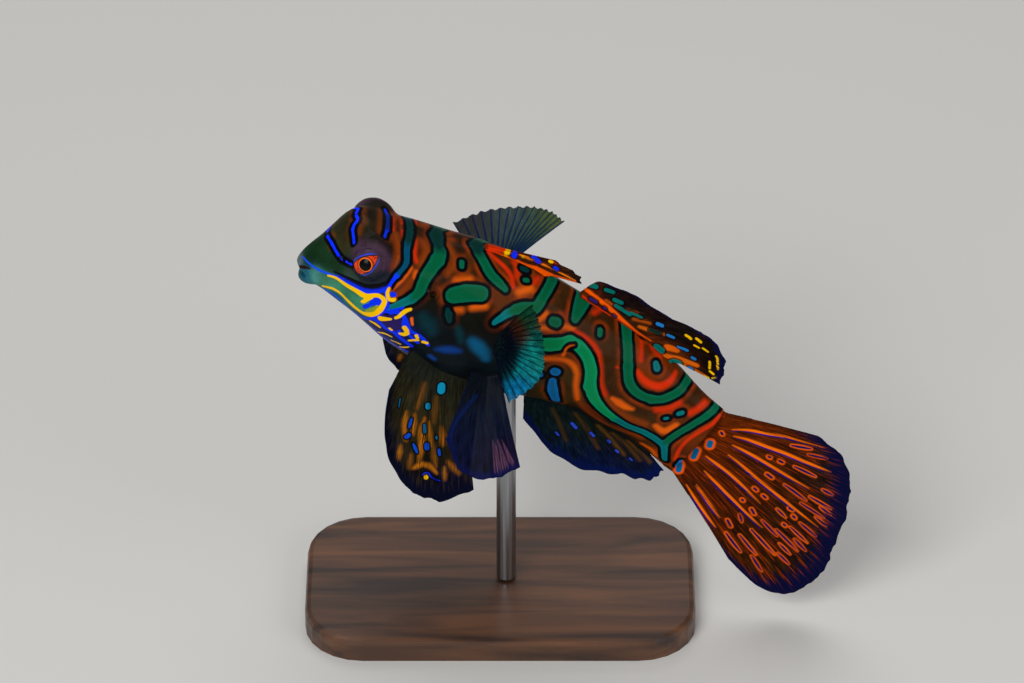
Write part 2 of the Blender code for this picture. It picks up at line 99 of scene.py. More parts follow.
UPPER_SQUARE = ((0, 2.0), (3, 2.3), (7, 2.6), (12, 2.2), (16, 2.0), (45, 2.0))
LOWER_SQUARE = ((0, 2.0), (5, 2.0), (10, 2.1), (18, 2.3), (28, 2.1), (45, 2.0))
EYE_STATION = 6.4
EYE_SIDE = 3.4
EYE_HEIGHT = 4.2
DOME_RADIUS = 2.3
DOME_BLEND = 0.6
EYE_LOOKS = (-0.25, 0.94, 0.25)
EYE_RADIUS = 1.7
EYE_STANDS_PROUD = 0.25
EYE_GAP = -0.03                # the socket holds the eyeball a little tighter than its size
ORBIT_RADIUS = 1.62
ORBIT_RIM = 0.15
ORBIT_OUT = 0.68
LIP_CORNER = (2.3, 1.8, -0.2)  # station, distance to the side and height above the axis
LIPS = ((0.2, 0.92, 0.5), (0.25, -0.66, 0.42))       # station, height and radius at the middle
LIP_POINTS = 25
LIP_SIDES = 16
LIP_ENDS = 0.45                # a lip's thickness at its corners, as a share of its middle
SLIT_AT = (0.2, 0.12)          # station and height of the mouth's slit
SLIT_SIZE = (3.2, 3.3, 0.5)    # along, across and high
NOSTRIL = (3.7, 58.0, 0.27, 0.25)                    # station, turn, radius and height
GILL = (12.3, 63.0, 0.6, 0.22)
PORE_ROOT = -0.6               # how far under the skin a pore's rim starts
PORE_DEPTH = -0.35             # and how deep its bore goes
PORE_FLARE = 1.25              # how much wider a pore's rim is at its root
BORE_SHARES = (0.55, 0.6)      # the bore's radius at its bottom and top, as shares of the rim's
PORE_SIDES = 20
BORE_SIDES = 16
ORBIT_AROUND = 48
ORBIT_SIDES = 12
SOCKET_AROUND = 48
SOCKET_RINGS = 32
RELAX_ROUNDS = 5               # rounds that ease the finished skin's points
RING_SPACING = 0.4             # mm between the rings that the body is lofted through
RING_SIDES = 96
SKIN_GRAIN = 0.155             # spacing of the finished skin's points
AXIS_STEP = 0.1                # mm between points of the body's axis

# Low swells and creases of the skin: station, turn from the back in degrees, how far each
# reaches along and round in mm, and how far it stands out
RELIEF = (
    (20.0, 82.0, 1.7, 2.4, 0.45),      # muscle at the pectoral fin's root
    (16.5, 138.0, 2.6, 1.8, 0.35),     # and at the pelvic fin's root
    (9.2, 92.0, 2.6, 2.2, 0.22),       # cheek
    (13.6, 96.0, 0.55, 4.5, -0.16),    # crease behind the gill cover
    (4.6, 104.0, 2.6, 0.5, -0.12),     # crease above the jaw
    (24.0, 0.0, 9.0, 1.0, 0.2),        # ridge that carries the dorsal fins
)


def smooth(table, at):
    """The table's value at each place, on a smooth curve through its points."""
    places, values = np.array(table, float).T
    slopes = np.gradient(values, places)
    at = np.clip(at, places[0], places[-1])
    i = np.clip(np.searchsorted(places, at) - 1, 0, len(places) - 2)
    step = places[i + 1] - places[i]
    u = (at - places[i]) / step
    start = (1 + 2 * u) * (1 - u) ** 2 * values[i] + u * (1 - u) ** 2 * step * slopes[i]
    end = u * u * (3 - 2 * u) * values[i + 1] - u * u * (1 - u) * step * slopes[i + 1]
    return start + end


def heading(s):
    """The directions towards the tail, to the fish's left and to its back at each station."""
    s = np.asarray(s, float)
    pitch = np.radians(smooth(PITCH, s))
    swing = np.radians(smooth(SWING, s))
    flat = np.cos(pitch)
    tail = np.stack((flat * np.cos(swing), -flat * np.sin(swing), -np.sin(pitch)), -1)
    left = np.stack((-np.sin(swing), -np.cos(swing), np.zeros_like(s)), -1)
    return tail, left, np.cross(left, tail)


axis_stations = np.arange(0, BODY_LENGTH + 2, AXIS_STEP)
axis_steps = heading(axis_stations + AXIS_STEP / 2)[0] * AXIS_STEP
axis_points = np.array(MOUTH_AT) + np.vstack((np.zeros(3), np.cumsum(axis_steps, 0)[:-1]))


def axis_at(s):
    """The axis at each station; ahead of the mouth it runs straight on."""
    s = np.asarray(s, float)
    on_axis = np.stack([np.interp(s, axis_stations, axis_points[:, k]) for k in range(3)], -1)
    return on_axis + heading(0.0)[0] * np.minimum(s, 0)[..., None]


def body_point(s, side, up):
    """Places by their station, distance to the fish's left and height above the axis."""
    _, left, back = heading(s)
    return axis_at(s) + left * np.asarray(side)[..., None] + back * np.asarray(up)[..., None]


def eye_centre(side):
    """The middle of the dome that an eye sits in."""
    return body_point(EYE_STATION, side * EYE_SIDE, EYE_HEIGHT)


def skin(s, turn, relief=0.0):
    """Points of the skin: turn is in degrees from the back's ridge, left side positive."""
    s, turn = np.broadcast_arrays(np.asarray(s, float), np.asarray(turn, float))
    across = np.sin(np.radians(turn))
    above = np.cos(np.radians(turn))
    power = 2.0 / np.where(above > 0, smooth(UPPER_SQUARE, s), smooth(LOWER_SQUARE, s))
    reach = np.where(above > 0, smooth(HEIGHT, s), smooth(DEPTH, s))
    side = np.sign(across) * np.abs(across) ** power * smooth(HALF_WIDTH, s)
    up = np.sign(above) * np.abs(above) ** power * reach
    start = axis_at(s)
    out = body_point(s, side, up) - start
    length = np.linalg.norm(out, axis=-1)
    out = out / length[..., None]
    by_dome = (np.abs(s - EYE_STATION) < DOME_RADIUS + 1) & (above > 0)
    for eye in (LEFT, RIGHT):
        to_centre = eye_centre(eye) - start
        along = (to_centre * out).sum(-1)
        inside = DOME_RADIUS ** 2 - (to_centre ** 2).sum(-1) + along ** 2
        dome = along + np.where(inside > 0, np.sqrt(np.abs(inside)), inside)
        mix = np.clip(0.5 + 0.5 * (length - dome) / DOME_BLEND, 0, 1)
        raised = dome + (length - dome) * mix + DOME_BLEND * mix * (1 - mix)
        length = np.where(by_dome & (eye * across >= 0), raised, length)
    for station, at_turn, reach_along, reach_round, height in RELIEF:
        apart = (np.abs(turn) - at_turn) * np.pi / 180 * length
        near = np.exp(-((s - station) / reach_along) ** 2 - (apart / reach_round) ** 2)
        length = length + height * near * relief
    return start + out * length[..., None]


def lifted(s, turn, lift):
    """Points that stand off the skin by lift, along its outward normal."""
    along = skin(s + 0.1, turn) - skin(s - 0.1, turn)
    around = skin(s, turn + 1) - skin(s, turn - 1)
    normal = np.cross(around, along)
    return skin(s, turn) + normal / np.linalg.norm(normal, axis=-1, keepdims=True) * lift


def gaze(side):
    """The direction in which an eye looks."""
    forward, outward, up = EYE_LOOKS
    return np.array((forward, -side * outward, up)) / np.linalg.norm(EYE_LOOKS)


def eyeball_centre(side):
    """The middle of an eyeball, which stands a little proud of its dome."""
    return eye_centre(side) + gaze(side) * (DOME_RADIUS + EYE_STANDS_PROUD - EYE_RADIUS)


def mesh_piece(name, points, faces):
    """A new object in the scene from points and faces, smoothly shaded."""
    mesh = bpy.data.meshes.new(name)
    mesh.from_pydata([tuple(p) for p in points], [], [tuple(f) for f in faces])
    mesh.shade_smooth()
    piece = bpy.data.objects.new(name, mesh)
    scene.collection.objects.link(piece)
    return piece


def rings_piece(name, rings):
    """A closed solid through rings of points, capped at both ends."""
    rings = np.asarray(rings)
    rows, sides, _ = rings.shape
    points = [*rings.reshape(-1, 3), rings[0].mean(0), rings[-1].mean(0)]
    faces = []
    for i in range(rows - 1):
        for k in range(sides):
            j = (k + 1) % sides
            faces.append((i * sides + k, (i + 1) * sides + k, (i + 1) * sides + j, i * sides + j))
    last = (rows - 1) * sides
    for k in range(sides):
        j = (k + 1) % sides
        faces.append((rows * sides, k, j))
        faces.append((rows * sides + 1, last + j, last + k))
    return mesh_piece(name, points, faces)


def tube(points, radii, sides):
    """A closed tube along points, with a radius at each."""
    rings = []
    for i, point in enumerate(points):
        ahead = Vector(points[min(i + 1, len(points) - 1)]) - Vector(points[max(i - 1, 0)])
        turn = np.array(ahead.to_track_quat("Z", "Y").to_matrix())
        angle = np.linspace(0, 2 * np.pi, sides, endpoint=False)
        ring = np.stack((np.cos(angle), np.sin(angle), np.zeros(sides)), -1) * radii[i]
        rings.append(point + ring @ turn.T)
    return rings_piece("tube", rings)


def ball(centre, radius, around, rings):
    """A closed ball with its poles up and down."""
    polar = np.linspace(0, np.pi, rings + 1)[1:-1, None]
    angle = np.linspace(0, 2 * np.pi, around, endpoint=False)[None, :]
    shape = np.stack((np.sin(polar) * np.cos(angle), np.sin(polar) * np.sin(angle),
                      np.cos(polar) + 0 * angle), -1)
    return rings_piece("ball", centre + shape * radius)


def outward(piece):
    """Turns the faces of a closed piece outwards."""
    mesh = piece.data
    mesh.calc_loop_triangles()
    volume = 0.0
    for tri in mesh.loop_triangles:
        a, b, c = (mesh.vertices[i].co for i in tri.vertices)
        volume += a.dot(b.cross(c))
    if volume < 0:
        mesh.flip_normals()
    return piece


def settled(piece):
    """The piece with its modifiers worked into its mesh."""
    graph = bpy.context.evaluated_depsgraph_get()
    result = bpy.data.meshes.new_from_object(piece.evaluated_get(graph))
    piece.modifiers.clear()
    piece.data = result
    return piece


def carved(piece, tools, operation):
    """Joins tools to the piece, or cuts them out of it."""
    group = bpy.data.collections.new("tools")
    scene.collection.children.link(group)
    for tool in tools:
        scene.collection.objects.unlink(tool)
        group.objects.link(outward(tool))
    modifier = piece.modifiers.new("carve", "BOOLEAN")
    modifier.operand_type = "COLLECTION"
    modifier.collection = group
    modifier.operation = operation
    modifier.solver = "EXACT"
    settled(piece)
    for tool in tools:
        bpy.data.objects.remove(tool)
    bpy.data.collections.remove(group)
    return piece


def lip(station, height, radius):
    """One lip, which bows forward from one mouth corner to the other."""
    angle = np.linspace(0, np.pi, LIP_POINTS)
    inward = np.sin(angle)
    s = LIP_CORNER[0] + (station - LIP_CORNER[0]) * inward
    up = LIP_CORNER[2] + (height - LIP_CORNER[2]) * inward ** 0.6
    line = body_point(s, LIP_CORNER[1] * np.cos(angle), up)
    return tube(line, radius * (LIP_ENDS + (1 - LIP_ENDS) * inward ** 0.7), LIP_SIDES)


def mouth_slit():
    """A flat block that parts the lips."""
    middle = body_point(SLIT_AT[0], 0.0, SLIT_AT[1])
    corners = np.array([(x, y, z) for x in (-0.5, 0.5) for y in (-0.5, 0.5) for z in (-0.5, 0.5)])
    faces = ((0, 1, 3, 2), (4, 6, 7, 5), (0, 4, 5, 1), (2, 3, 7, 6), (0, 2, 6, 4), (1, 5, 7, 3))
    return mesh_piece("slit", middle + corners * SLIT_SIZE, faces)


def pore(station, turn, radius, height):
    """The raised rim of a small opening, and its bore."""
    low, inner, top, above = (
        lifted(station, turn, lift) for lift in (PORE_ROOT, PORE_DEPTH, height, height + 0.3)
    )
    rim = tube((low, top), (radius * PORE_FLARE, radius), PORE_SIDES)
    return rim, tube((inner, above), [radius * share for share in BORE_SHARES], BORE_SIDES)


def orbit(side):
    """The soft rim round an eye."""
    turn = np.array(Vector(gaze(side)).to_track_quat("Z", "Y").to_matrix())
    angle = np.linspace(0, 2 * np.pi, ORBIT_AROUND + 1)[:, None]
    bend = np.linspace(0, 2 * np.pi, ORBIT_SIDES, endpoint=False)[None, :]
    reach = ORBIT_RADIUS + ORBIT_RIM * np.cos(bend)
    rise = ORBIT_RIM * np.sin(bend) + 0 * angle
    shape = np.stack((reach * np.cos(angle), reach * np.sin(angle), rise), -1)
    rings = eyeball_centre(side) + gaze(side) * ORBIT_OUT + shape @ turn.T
    rings = rings[:-1]
    rows, sides, _ = rings.shape
    faces = []
    for i in range(rows):
        for k in range(sides):
            j = (k + 1) % sides
            n = (i + 1) % rows
            faces.append((i * sides + k, n * sides + k, n * sides + j, i * sides + j))
    return mesh_piece("orbit", rings.reshape(-1, 3), faces)


ring_stations = np.linspace(0, BODY_LENGTH, round(BODY_LENGTH / RING_SPACING) + 1)
ring_turns = np.linspace(0, 360, RING_SIDES, endpoint=False)
ring_turns = np.where(ring_turns > 180, ring_turns - 360, ring_turns)
body = outward(rings_piece("fish_skin", skin(ring_stations[:, None], ring_turns[None, :], relief=1.0)))
added = [lip(*sizes) for sizes in LIPS]
cut = [mouth_slit()]
for side in (LEFT, RIGHT):
    added.append(orbit(side))
    cut.append(ball(eyeball_centre(side), EYE_RADIUS + EYE_GAP, SOCKET_AROUND, SOCKET_RINGS))
    for station, turn, radius, height in (NOSTRIL, GILL):
        outer, bore = pore(station, side * turn, radius, height)
        added.append(outer)
        cut.append(bore)
carved(body, added, "UNION")
carved(body, cut, "DIFFERENCE")
remesh = body.modifiers.new("even", "REMESH")
remesh.mode = "VOXEL"
remesh.voxel_size = SKIN_GRAIN
remesh.use_smooth_shade = True
relax = body.modifiers.new("relax", "SMOOTH")
relax.factor = 0.5
relax.iterations = RELAX_ROUNDS
settled(body)
body.data.shade_smooth()

# Markings of the skin. Each has its colour, its width in mm, at every point or only at its
# ends, and the pixels that it passes through in the picture. They are cast from the camera on
# to the left side and mirrored to the right.
GREEN = "025C38"
FLANK_GREEN = "04884E"
SEA_GREEN = "026C64"
# dark teal, for spots and for the tops of bands near the back, where it is partly their own colour and partly
# painted shade
DARK_TEAL = "02302A"
BAND_BLUE = "024658"
DEEP_TEAL = "07343E"
STRIPE_BLUE = "0830F4"
DARK_BLUE = "0A2268"
SPOT_BLUE = "0A6698"
PATCH_BLUE = "0A3C8A"
SHOULDER_BLUE = "06557C"
ORANGE = "E8620C"
RED = "DC3007"
DULL_ORANGE = "8A3A0A"
BROW_ORANGE = "6E360E"
KEYHOLE_OLIVE = "8E9A28"
YELLOW = "FFC400"
VIOLET = "2A1C5E"
# painted shade, black, for the crease under the eye's dome
CREASE_SHADE = "0B0B0D"
# painted shade, dark red, along the opening between the lips
MOUTH_SHADE = "2A1010"

BANDS = (
    # head stripes
    (STRIPE_BLUE, 0.3,
     ((329.6, 227), (327.4, 233.4), (327.9, 237.7), (331.7, 243), (334.4, 248.5), (337.2, 253.4),
      (340.4, 257.6), (341.8, 259.4))),
    (STRIPE_BLUE, 0.24, ((346.4, 261.6), (349, 262.8), (351.8, 264.3))),
    (STRIPE_BLUE, 0.28,
     ((358.4, 206), (355.8, 210.6), (356, 215), (358.6, 219.2), (355, 223), (352.4, 228.5), (353.3, 235.5),
      (354.3, 243.2))),
    (DARK_BLUE, 0.42, ((384, 209), (386, 216), (387.8, 223), (387.4, 229))),
    ("0A2CC0", 0.3, ((387, 230.6), (385.6, 233.6), (384.6, 237.2))),
    # band behind the eye
    (STRIPE_BLUE, (0.3, 0.42), ((388.6, 287), (393, 280), (396.8, 275.6))),
    (BAND_BLUE, (0.42, 0.62),
     ((396.8, 275.6), (401.7, 270), (406, 264.8), (407.1, 259.4), (406.5, 253), (407.6, 244))),
    # dark teal top of the band near the back: partly its own colour, partly painted shade
    (DARK_TEAL, (0.62, 0.8), ((407.6, 244), (409.3, 236.6), (410.3, 229), (410.8, 220))),
    # first green band
    (SEA_GREEN, (0.7, 0.9), ((387.6, 309.3), (394, 307), (403.8, 302.7), (412, 299))),
    (GREEN, (0.95, 1.35),
     ((412, 299), (418.6, 293.5), (421.6, 286.5), (425.8, 277), (432, 268), (437.6, 260))),
    (GREEN, (1.35, 1.15), ((437.6, 260), (440.4, 255), (440, 251))),
    # dark teal top of the band near the back: partly its own colour, partly painted shade
    (DARK_TEAL, (1.15, 1.0, 1.3, 1.6), ((440, 251), (438.4, 245), (436.6, 238), (436, 230))),
    # oval and slanting bar on the shoulder
    (GREEN, (1.6, 1.75, 1.7, 1.55), ((453.5, 295.5), (463, 293.5), (473, 293), (481, 293.5))),
    # dark teal top of the bar near the back: partly its own colour, partly painted shade
    (DARK_TEAL, (1.3, 1.0), ((474, 236), (475, 243))),
    (DARK_TEAL, (1.1, 0.95), ((475, 243), (478, 251.4), (480, 255))),
    (GREEN, (0.95, 1.0, 1.05, 1.0, 0.9, 0.6),
     ((480, 255), (483, 260), (487.5, 268.6), (492.8, 276.7), (499.5, 282.8), (505.4, 289.3))),
    # band that drops from the back to behind the pectoral fin
    (GREEN, (1.1, 1.0), ((552.5, 279), (550, 285), (545.8, 292.5), (541, 300.8))),
    (GREEN, (1.0, 1.2, 1.3, 1.1, 0.7), ((541, 300.8), (536, 308), (527, 308.5), (517, 309), (508.5, 313))),
    (SEA_GREEN, (0.8, 0.5), ((508.5, 313), (500, 318.5), (494, 323))),
    # tongue below the second dorsal fin
    (GREEN, (2.0, 1.75, 1.4, 0.85), ((586.5, 290), (583.5, 298), (579, 309), (575, 319))),
    # main band of the flank, down to the tail's fork
    (SEA_GREEN, (1.0, 1.2, 1.3), ((505, 386), (507, 377.5), (513, 370))),
    (SEA_GREEN, (1.3, 1.3), ((513, 370), (520, 361), (527.5, 351.5), (538, 344.5))),
    (FLANK_GREEN, (1.3, 1.4, 1.3, 1.2), ((538, 344.5), (550, 344.7), (560.5, 343.8), (570, 341.5))),
    (FLANK_GREEN, (1.2, 1.2, 1.15, 1.2, 1.25),
     ((570, 341.5), (578, 345.5), (587, 356), (591, 370), (590, 386))),
    (FLANK_GREEN, (1.25, 1.15, 1.0, 0.9), ((590, 386), (594.2, 398.6), (603.4, 410), (614.8, 419))),
    (SEA_GREEN, (0.9, 0.85, 0.8, 0.8),
     ((614.8, 419), (628.7, 426.7), (642.7, 431.8), (654.2, 438.2), (663.5, 445))),
    (SEA_GREEN, (0.75, 0.6), ((663.8, 445), (664.4, 452), (664.6, 459.5))),
    (GREEN, 0.72, ((664.5, 443.5), (669.5, 439.4), (678.4, 433), (687.3, 428), (697.6, 421.6), (707.8, 415.2),
                   (716, 407), (720, 400))),
    # hanging loop below the second dorsal fin
    (GREEN, (1.3, 1.25, 1.1, 1.0, 1.0), ((626, 319), (626.4, 327), (627, 337.4), (628, 351.4), (628, 366.7))),
    (GREEN, (1.0, 0.95, 0.9), ((628, 366.7), (628.7, 379.5), (632.5, 388.6), (641.4, 395.6), (651.6, 399.4))),
    (GREEN, (0.9, 0.9, 0.85), ((651.6, 399.4), (661.8, 399.4), (672, 395.6), (681, 389.8), (688, 379))),
    # spots
    (GREEN, 0.5, ((461.8, 262), (461.9, 266.5))),
    (GREEN, 0.5, ((525, 280.1), (527.6, 280.2))),
    (DARK_TEAL, 0.6, ((522.5, 268.5), (526.5, 270))),
    (GREEN, (0.95, 1.05), ((553, 321.5), (556.6, 322.3))),
    (GREEN, 0.55, ((600.2, 330), (599.9, 334.6))),
    (DARK_TEAL, (0.4, 0.75, 0.5), ((447.6, 309.5), (448.6, 315), (449.4, 321))),
    (SEA_GREEN, (0.6, 0.75), ((656, 363.5), (657, 368))),
    (SEA_GREEN, 0.5, ((678.6, 413.8), (682.2, 412.8))),
    (SEA_GREEN, 0.36, ((665, 418.6), (667.6, 418.2))),
    (DARK_TEAL, 0.4, ((641.5, 334.8), (648, 337.6))),
    # blue spots of the lower flank and belly
    (SPOT_BLUE, 0.7, ((539, 374.6), (539.8, 375))),
    (SPOT_BLUE, 0.9, ((554.6, 371.6), (556.4, 372.2))),
    (SPOT_BLUE, (0.8, 1.05, 0.8), ((552.6, 381), (552.6, 390), (556, 400.5))),
    # blue pips at the tail's root
    (SPOT_BLUE, (0.45, 0.5), ((678, 467), (681.5, 461.5))),
)

# Bare notches that break a band's edge
NOTCHES = (
    (ORANGE, (0.8, 0.95, 0.9, 0.8), ((563.4, 356), (565.2, 349.5), (568.6, 346), (574.5, 345))),
)

# Bright warm marks: colour, how soft their edges are in mm, width and pixels
WARM = (
    (ORANGE, 0.08, (0.4, 0.5, 0.4), ((563.4, 354.7), (565.2, 349.5), (568.6, 346), (574.3, 345))),
    # cheek rim, keyhole rim and hook
    (YELLOW, 0.05, (0.2, 0.28, 0.32, 0.38, 0.46, 0.6),
     ((327.9, 275.6), (335.5, 277.5), (342, 282.2), (348.5, 286.6), (355, 290), (361.6, 294.2))),
    (YELLOW, 0.05, (0.6, 0.5, 0.42, 0.44, 0.5),
     ((361.6, 294.2), (367, 296.6), (372.4, 295.4), (378, 295.2), (382.2, 297.4), (384.8, 301))),
    (YELLOW, 0.05, (0.5, 0.55, 0.62, 0.56, 0.44),
     ((384.8, 301), (383.4, 305.4), (379.6, 310.2), (374.4, 313.8), (368.1, 315), (362.6, 313))),
    (KEYHOLE_OLIVE, 0.05, (0.3, 0.5, 0.3), ((366.5, 311), (371.5, 310.6), (377, 306.8))),
    (YELLOW, 0.05, (0.44, 0.34, 0.28, 0.2),
     ((362.6, 313.2), (355, 307.8), (349.6, 302.4), (343.1, 296), (336.6, 290.6), (330.1, 287.8),
      (322.5, 286.2))),
    (YELLOW, 0.05, (0.3, 0.45, 0.5), ((362, 301.8), (366, 299.5), (371, 297))),
    (YELLOW, 0.05, (0.3, 0.34, 0.36, 0.4),
     ((389, 288.6), (387, 292.5), (387.2, 295.5), (389, 299), (391.9, 301.6), (394.2, 299.8))),
    # throat
    (YELLOW, 0.05, (0.62, 0.5, 0.26), ((380.5, 318.6), (384.5, 319), (390.8, 319.2))),
    (YELLOW, 0.05, (0.3, 0.4, 0.46, 0.42), ((395.6, 318), (400.6, 315.8), (402.7, 312.5), (407, 310.3))),
    (YELLOW, 0.05, 0.36, ((407, 310.3), (410.4, 309.4))),
    (YELLOW, 0.05, (0.26, 0.42, 0.34), ((370.2, 321.2), (375.6, 323.9), (379.4, 327))),
    (YELLOW, 0.05, (0.16, 0.3, 0.2), ((377.8, 332.2), (384.3, 333.1), (391.4, 336.8))),
    (YELLOW, 0.05, 0.3, ((389.6, 328.6), (391.4, 330))),
    (YELLOW, 0.05, 0.5, ((404.4, 327.6), (406.8, 331))),
    (YELLOW, 0.05, (0.34, 0.56, 0.44), ((400, 333.6), (403.6, 335), (407.4, 333.4))),
    (YELLOW, 0.05, (0.22, 0.3, 0.22), ((408.6, 340.6), (414.7, 340), (418.6, 340.4))),
    (YELLOW, 0.05, 0.34, ((416.2, 335.4), (417.4, 338))),
    (YELLOW, 0.05, (0.16, 0.24), ((395.8, 342), (400, 344))),
    (YELLOW, 0.05, 0.34, ((422.8, 341.8), (427, 343))),
    (YELLOW, 0.05, (0.14, 0.22, 0.16), ((399.5, 346.9), (404, 347.4), (408.6, 347))),
    (YELLOW, 0.05, 0.18, ((391, 340.2), (394, 341.4))),
    (ORANGE, 0.06, (0.3, 0.22), ((411.6, 318.5), (412.6, 325))),
    # flecks on snout and brow
    (BROW_ORANGE, 0.3, 0.2, ((332, 232.5), (335, 236))),
    (BROW_ORANGE, 0.3, 0.2, ((328.5, 246), (330, 249))),
    (BROW_ORANGE, 0.4, 0.3, ((351, 219), (353, 221))),
    (BROW_ORANGE, 0.5, 0.4, ((363, 215), (364, 222))),
    (BROW_ORANGE, 0.4, 0.35, ((361, 226), (359, 233))),
    (BROW_ORANGE, 0.4, 0.45, ((380, 219), (379.5, 232))),
    # between eye and shoulder
    (RED, 0.3, 0.35, ((391.5, 222), (393, 231))),
    (RED, 0.3, 0.3, ((402.5, 231), (403.5, 238))),
    (DULL_ORANGE, 0.6, 0.7, ((396, 234), (397, 250), (393, 266))),
    (ORANGE, 0.4, 0.3, ((397.5, 256), (394, 266))),
    (RED, 0.3, 0.4, ((415, 240), (414.5, 255), (417, 262))),
    (DULL_ORANGE, 0.6, 0.9, ((423, 242), (426.5, 252), (421, 264))),
    (ORANGE, 0.25, 0.34, ((411, 268), (405, 277), (398, 284), (391.5, 289.5))),
    (ORANGE, 0.3, 0.4, ((416, 272), (414, 278))),
    (DULL_ORANGE, 0.5, 0.8, ((411, 281), (402, 292), (396, 296))),
    (DULL_ORANGE, 0.5, 0.6, ((449, 246), (455, 262), (448, 274))),
    # shoulder
    (ORANGE, 0.5, 0.5, ((456, 280), (470, 279))),
    (ORANGE, 0.5, 0.5, ((453, 309), (461, 310))),
    (ORANGE, 0.4, 0.6, ((472, 307.5), (485, 306))),
    (DULL_ORANGE, 0.6, 0.6, ((443, 232), (452, 240))),
    (DULL_ORANGE, 0.6, 0.6, ((440, 290), (443, 300))),
    (RED, 0.22, (0.3, 0.45, 0.5, 0.5, 0.4),
     ((484, 247.5), (495, 258.3), (504.3, 266.5), (511.2, 276), (513.5, 287))),
    (RED, 0.4, 0.5, ((514, 262), (518, 268), (516, 276))),
    (ORANGE, 0.4, 0.8, ((519, 292), (531, 288.5))),
    (RED, 0.4, 0.5, ((534, 283), (538, 278))),
    # blotches of the chest, deep in the skin
    (DEEP_TEAL, 0.6, (1.0, 1.5, 1.0), ((423, 317), (427, 324), (431, 331))),
    (DEEP_TEAL, 0.4, (0.5, 0.8, 0.5), ((458, 328), (459.5, 334), (461, 341))),
    (PATCH_BLUE, 0.4, (0.4, 0.85, 0.85, 0.4), ((437, 349.5), (445, 349.6), (452, 350), (459, 351))),
    (SHOULDER_BLUE, 0.5, (1.0, 1.45, 1.3, 0.7), ((473, 342), (478, 347), (483, 352), (486, 359))),
    (PATCH_BLUE, 0.25, 0.5, ((430, 356), (434, 359))),
    # flank
    (ORANGE, 0.35, 0.55, ((540, 319.5), (546, 314))),
    (ORANGE, 0.35, 0.5, ((537, 327), (551, 328.6), (564, 326.4), (573, 329.5))),
    (RED, 0.3, 0.4, ((572, 330), (583, 336), (593, 344), (598.5, 353))),
    (RED, 0.4, 0.4, ((598.5, 353), (600, 366), (601, 385), (606, 396))),
    (RED, 0.4, 0.4, ((594, 313), (600, 309))),
    (RED, 0.2, 0.14, ((616.5, 367), (621, 368))),
    (ORANGE, 0.25, (0.5, 0.5, 0.5, 0.6, 0.5),
     ((544, 359.3), (555, 359), (566.3, 360.5), (574.3, 366.2), (577, 374.5))),
    (ORANGE, 0.3, (0.5, 0.5, 0.5), ((577, 374.5), (575.8, 386), (577.5, 400))),
    (DULL_ORANGE, 0.5, 0.5, ((577.5, 400), (590, 413), (610, 426), (640, 437.5))),
    (ORANGE, 0.3, (0.5, 0.9, 0.8, 0.4), ((612, 398.5), (618, 402.5), (625, 407), (632, 409))),
    (DULL_ORANGE, 0.5, 0.7, ((606, 398), (622, 414), (645, 424))),
    (RED, 0.3, 0.4, ((640.4, 331), (641.4, 345), (641, 360))),
    (RED, 0.3, 0.4, ((649, 336), (652, 348), (660, 356))),
    (RED, 0.25, (0.5, 0.7, 0.8, 0.7, 0.4),
     ((637.6, 371.8), (645, 381), (658, 386.6), (670, 381.5), (676, 372))),
    (RED, 0.4, 0.6, ((657, 410), (668, 409), (679, 403))),
    (RED, 0.3, 0.6, ((690, 413), (699, 408), (705, 402))),
    (ORANGE, 0.3, (0.6, 0.9, 0.6), ((656, 426), (664.2, 431.5), (676, 425))),
    (ORANGE, 0.3, (0.5, 0.6), ((642, 444), (652, 450), (655, 455))),
    # tail's root
    (RED, 0.15, 0.38,
     ((675, 460), (678.5, 451), (684, 443.3), (692.5, 436.4), (703.5, 429.6), (713.3, 423.6), (719.5, 415))),
    (ORANGE, 0.12, 0.9, ((678, 467.5), (681.5, 461.5))),
)

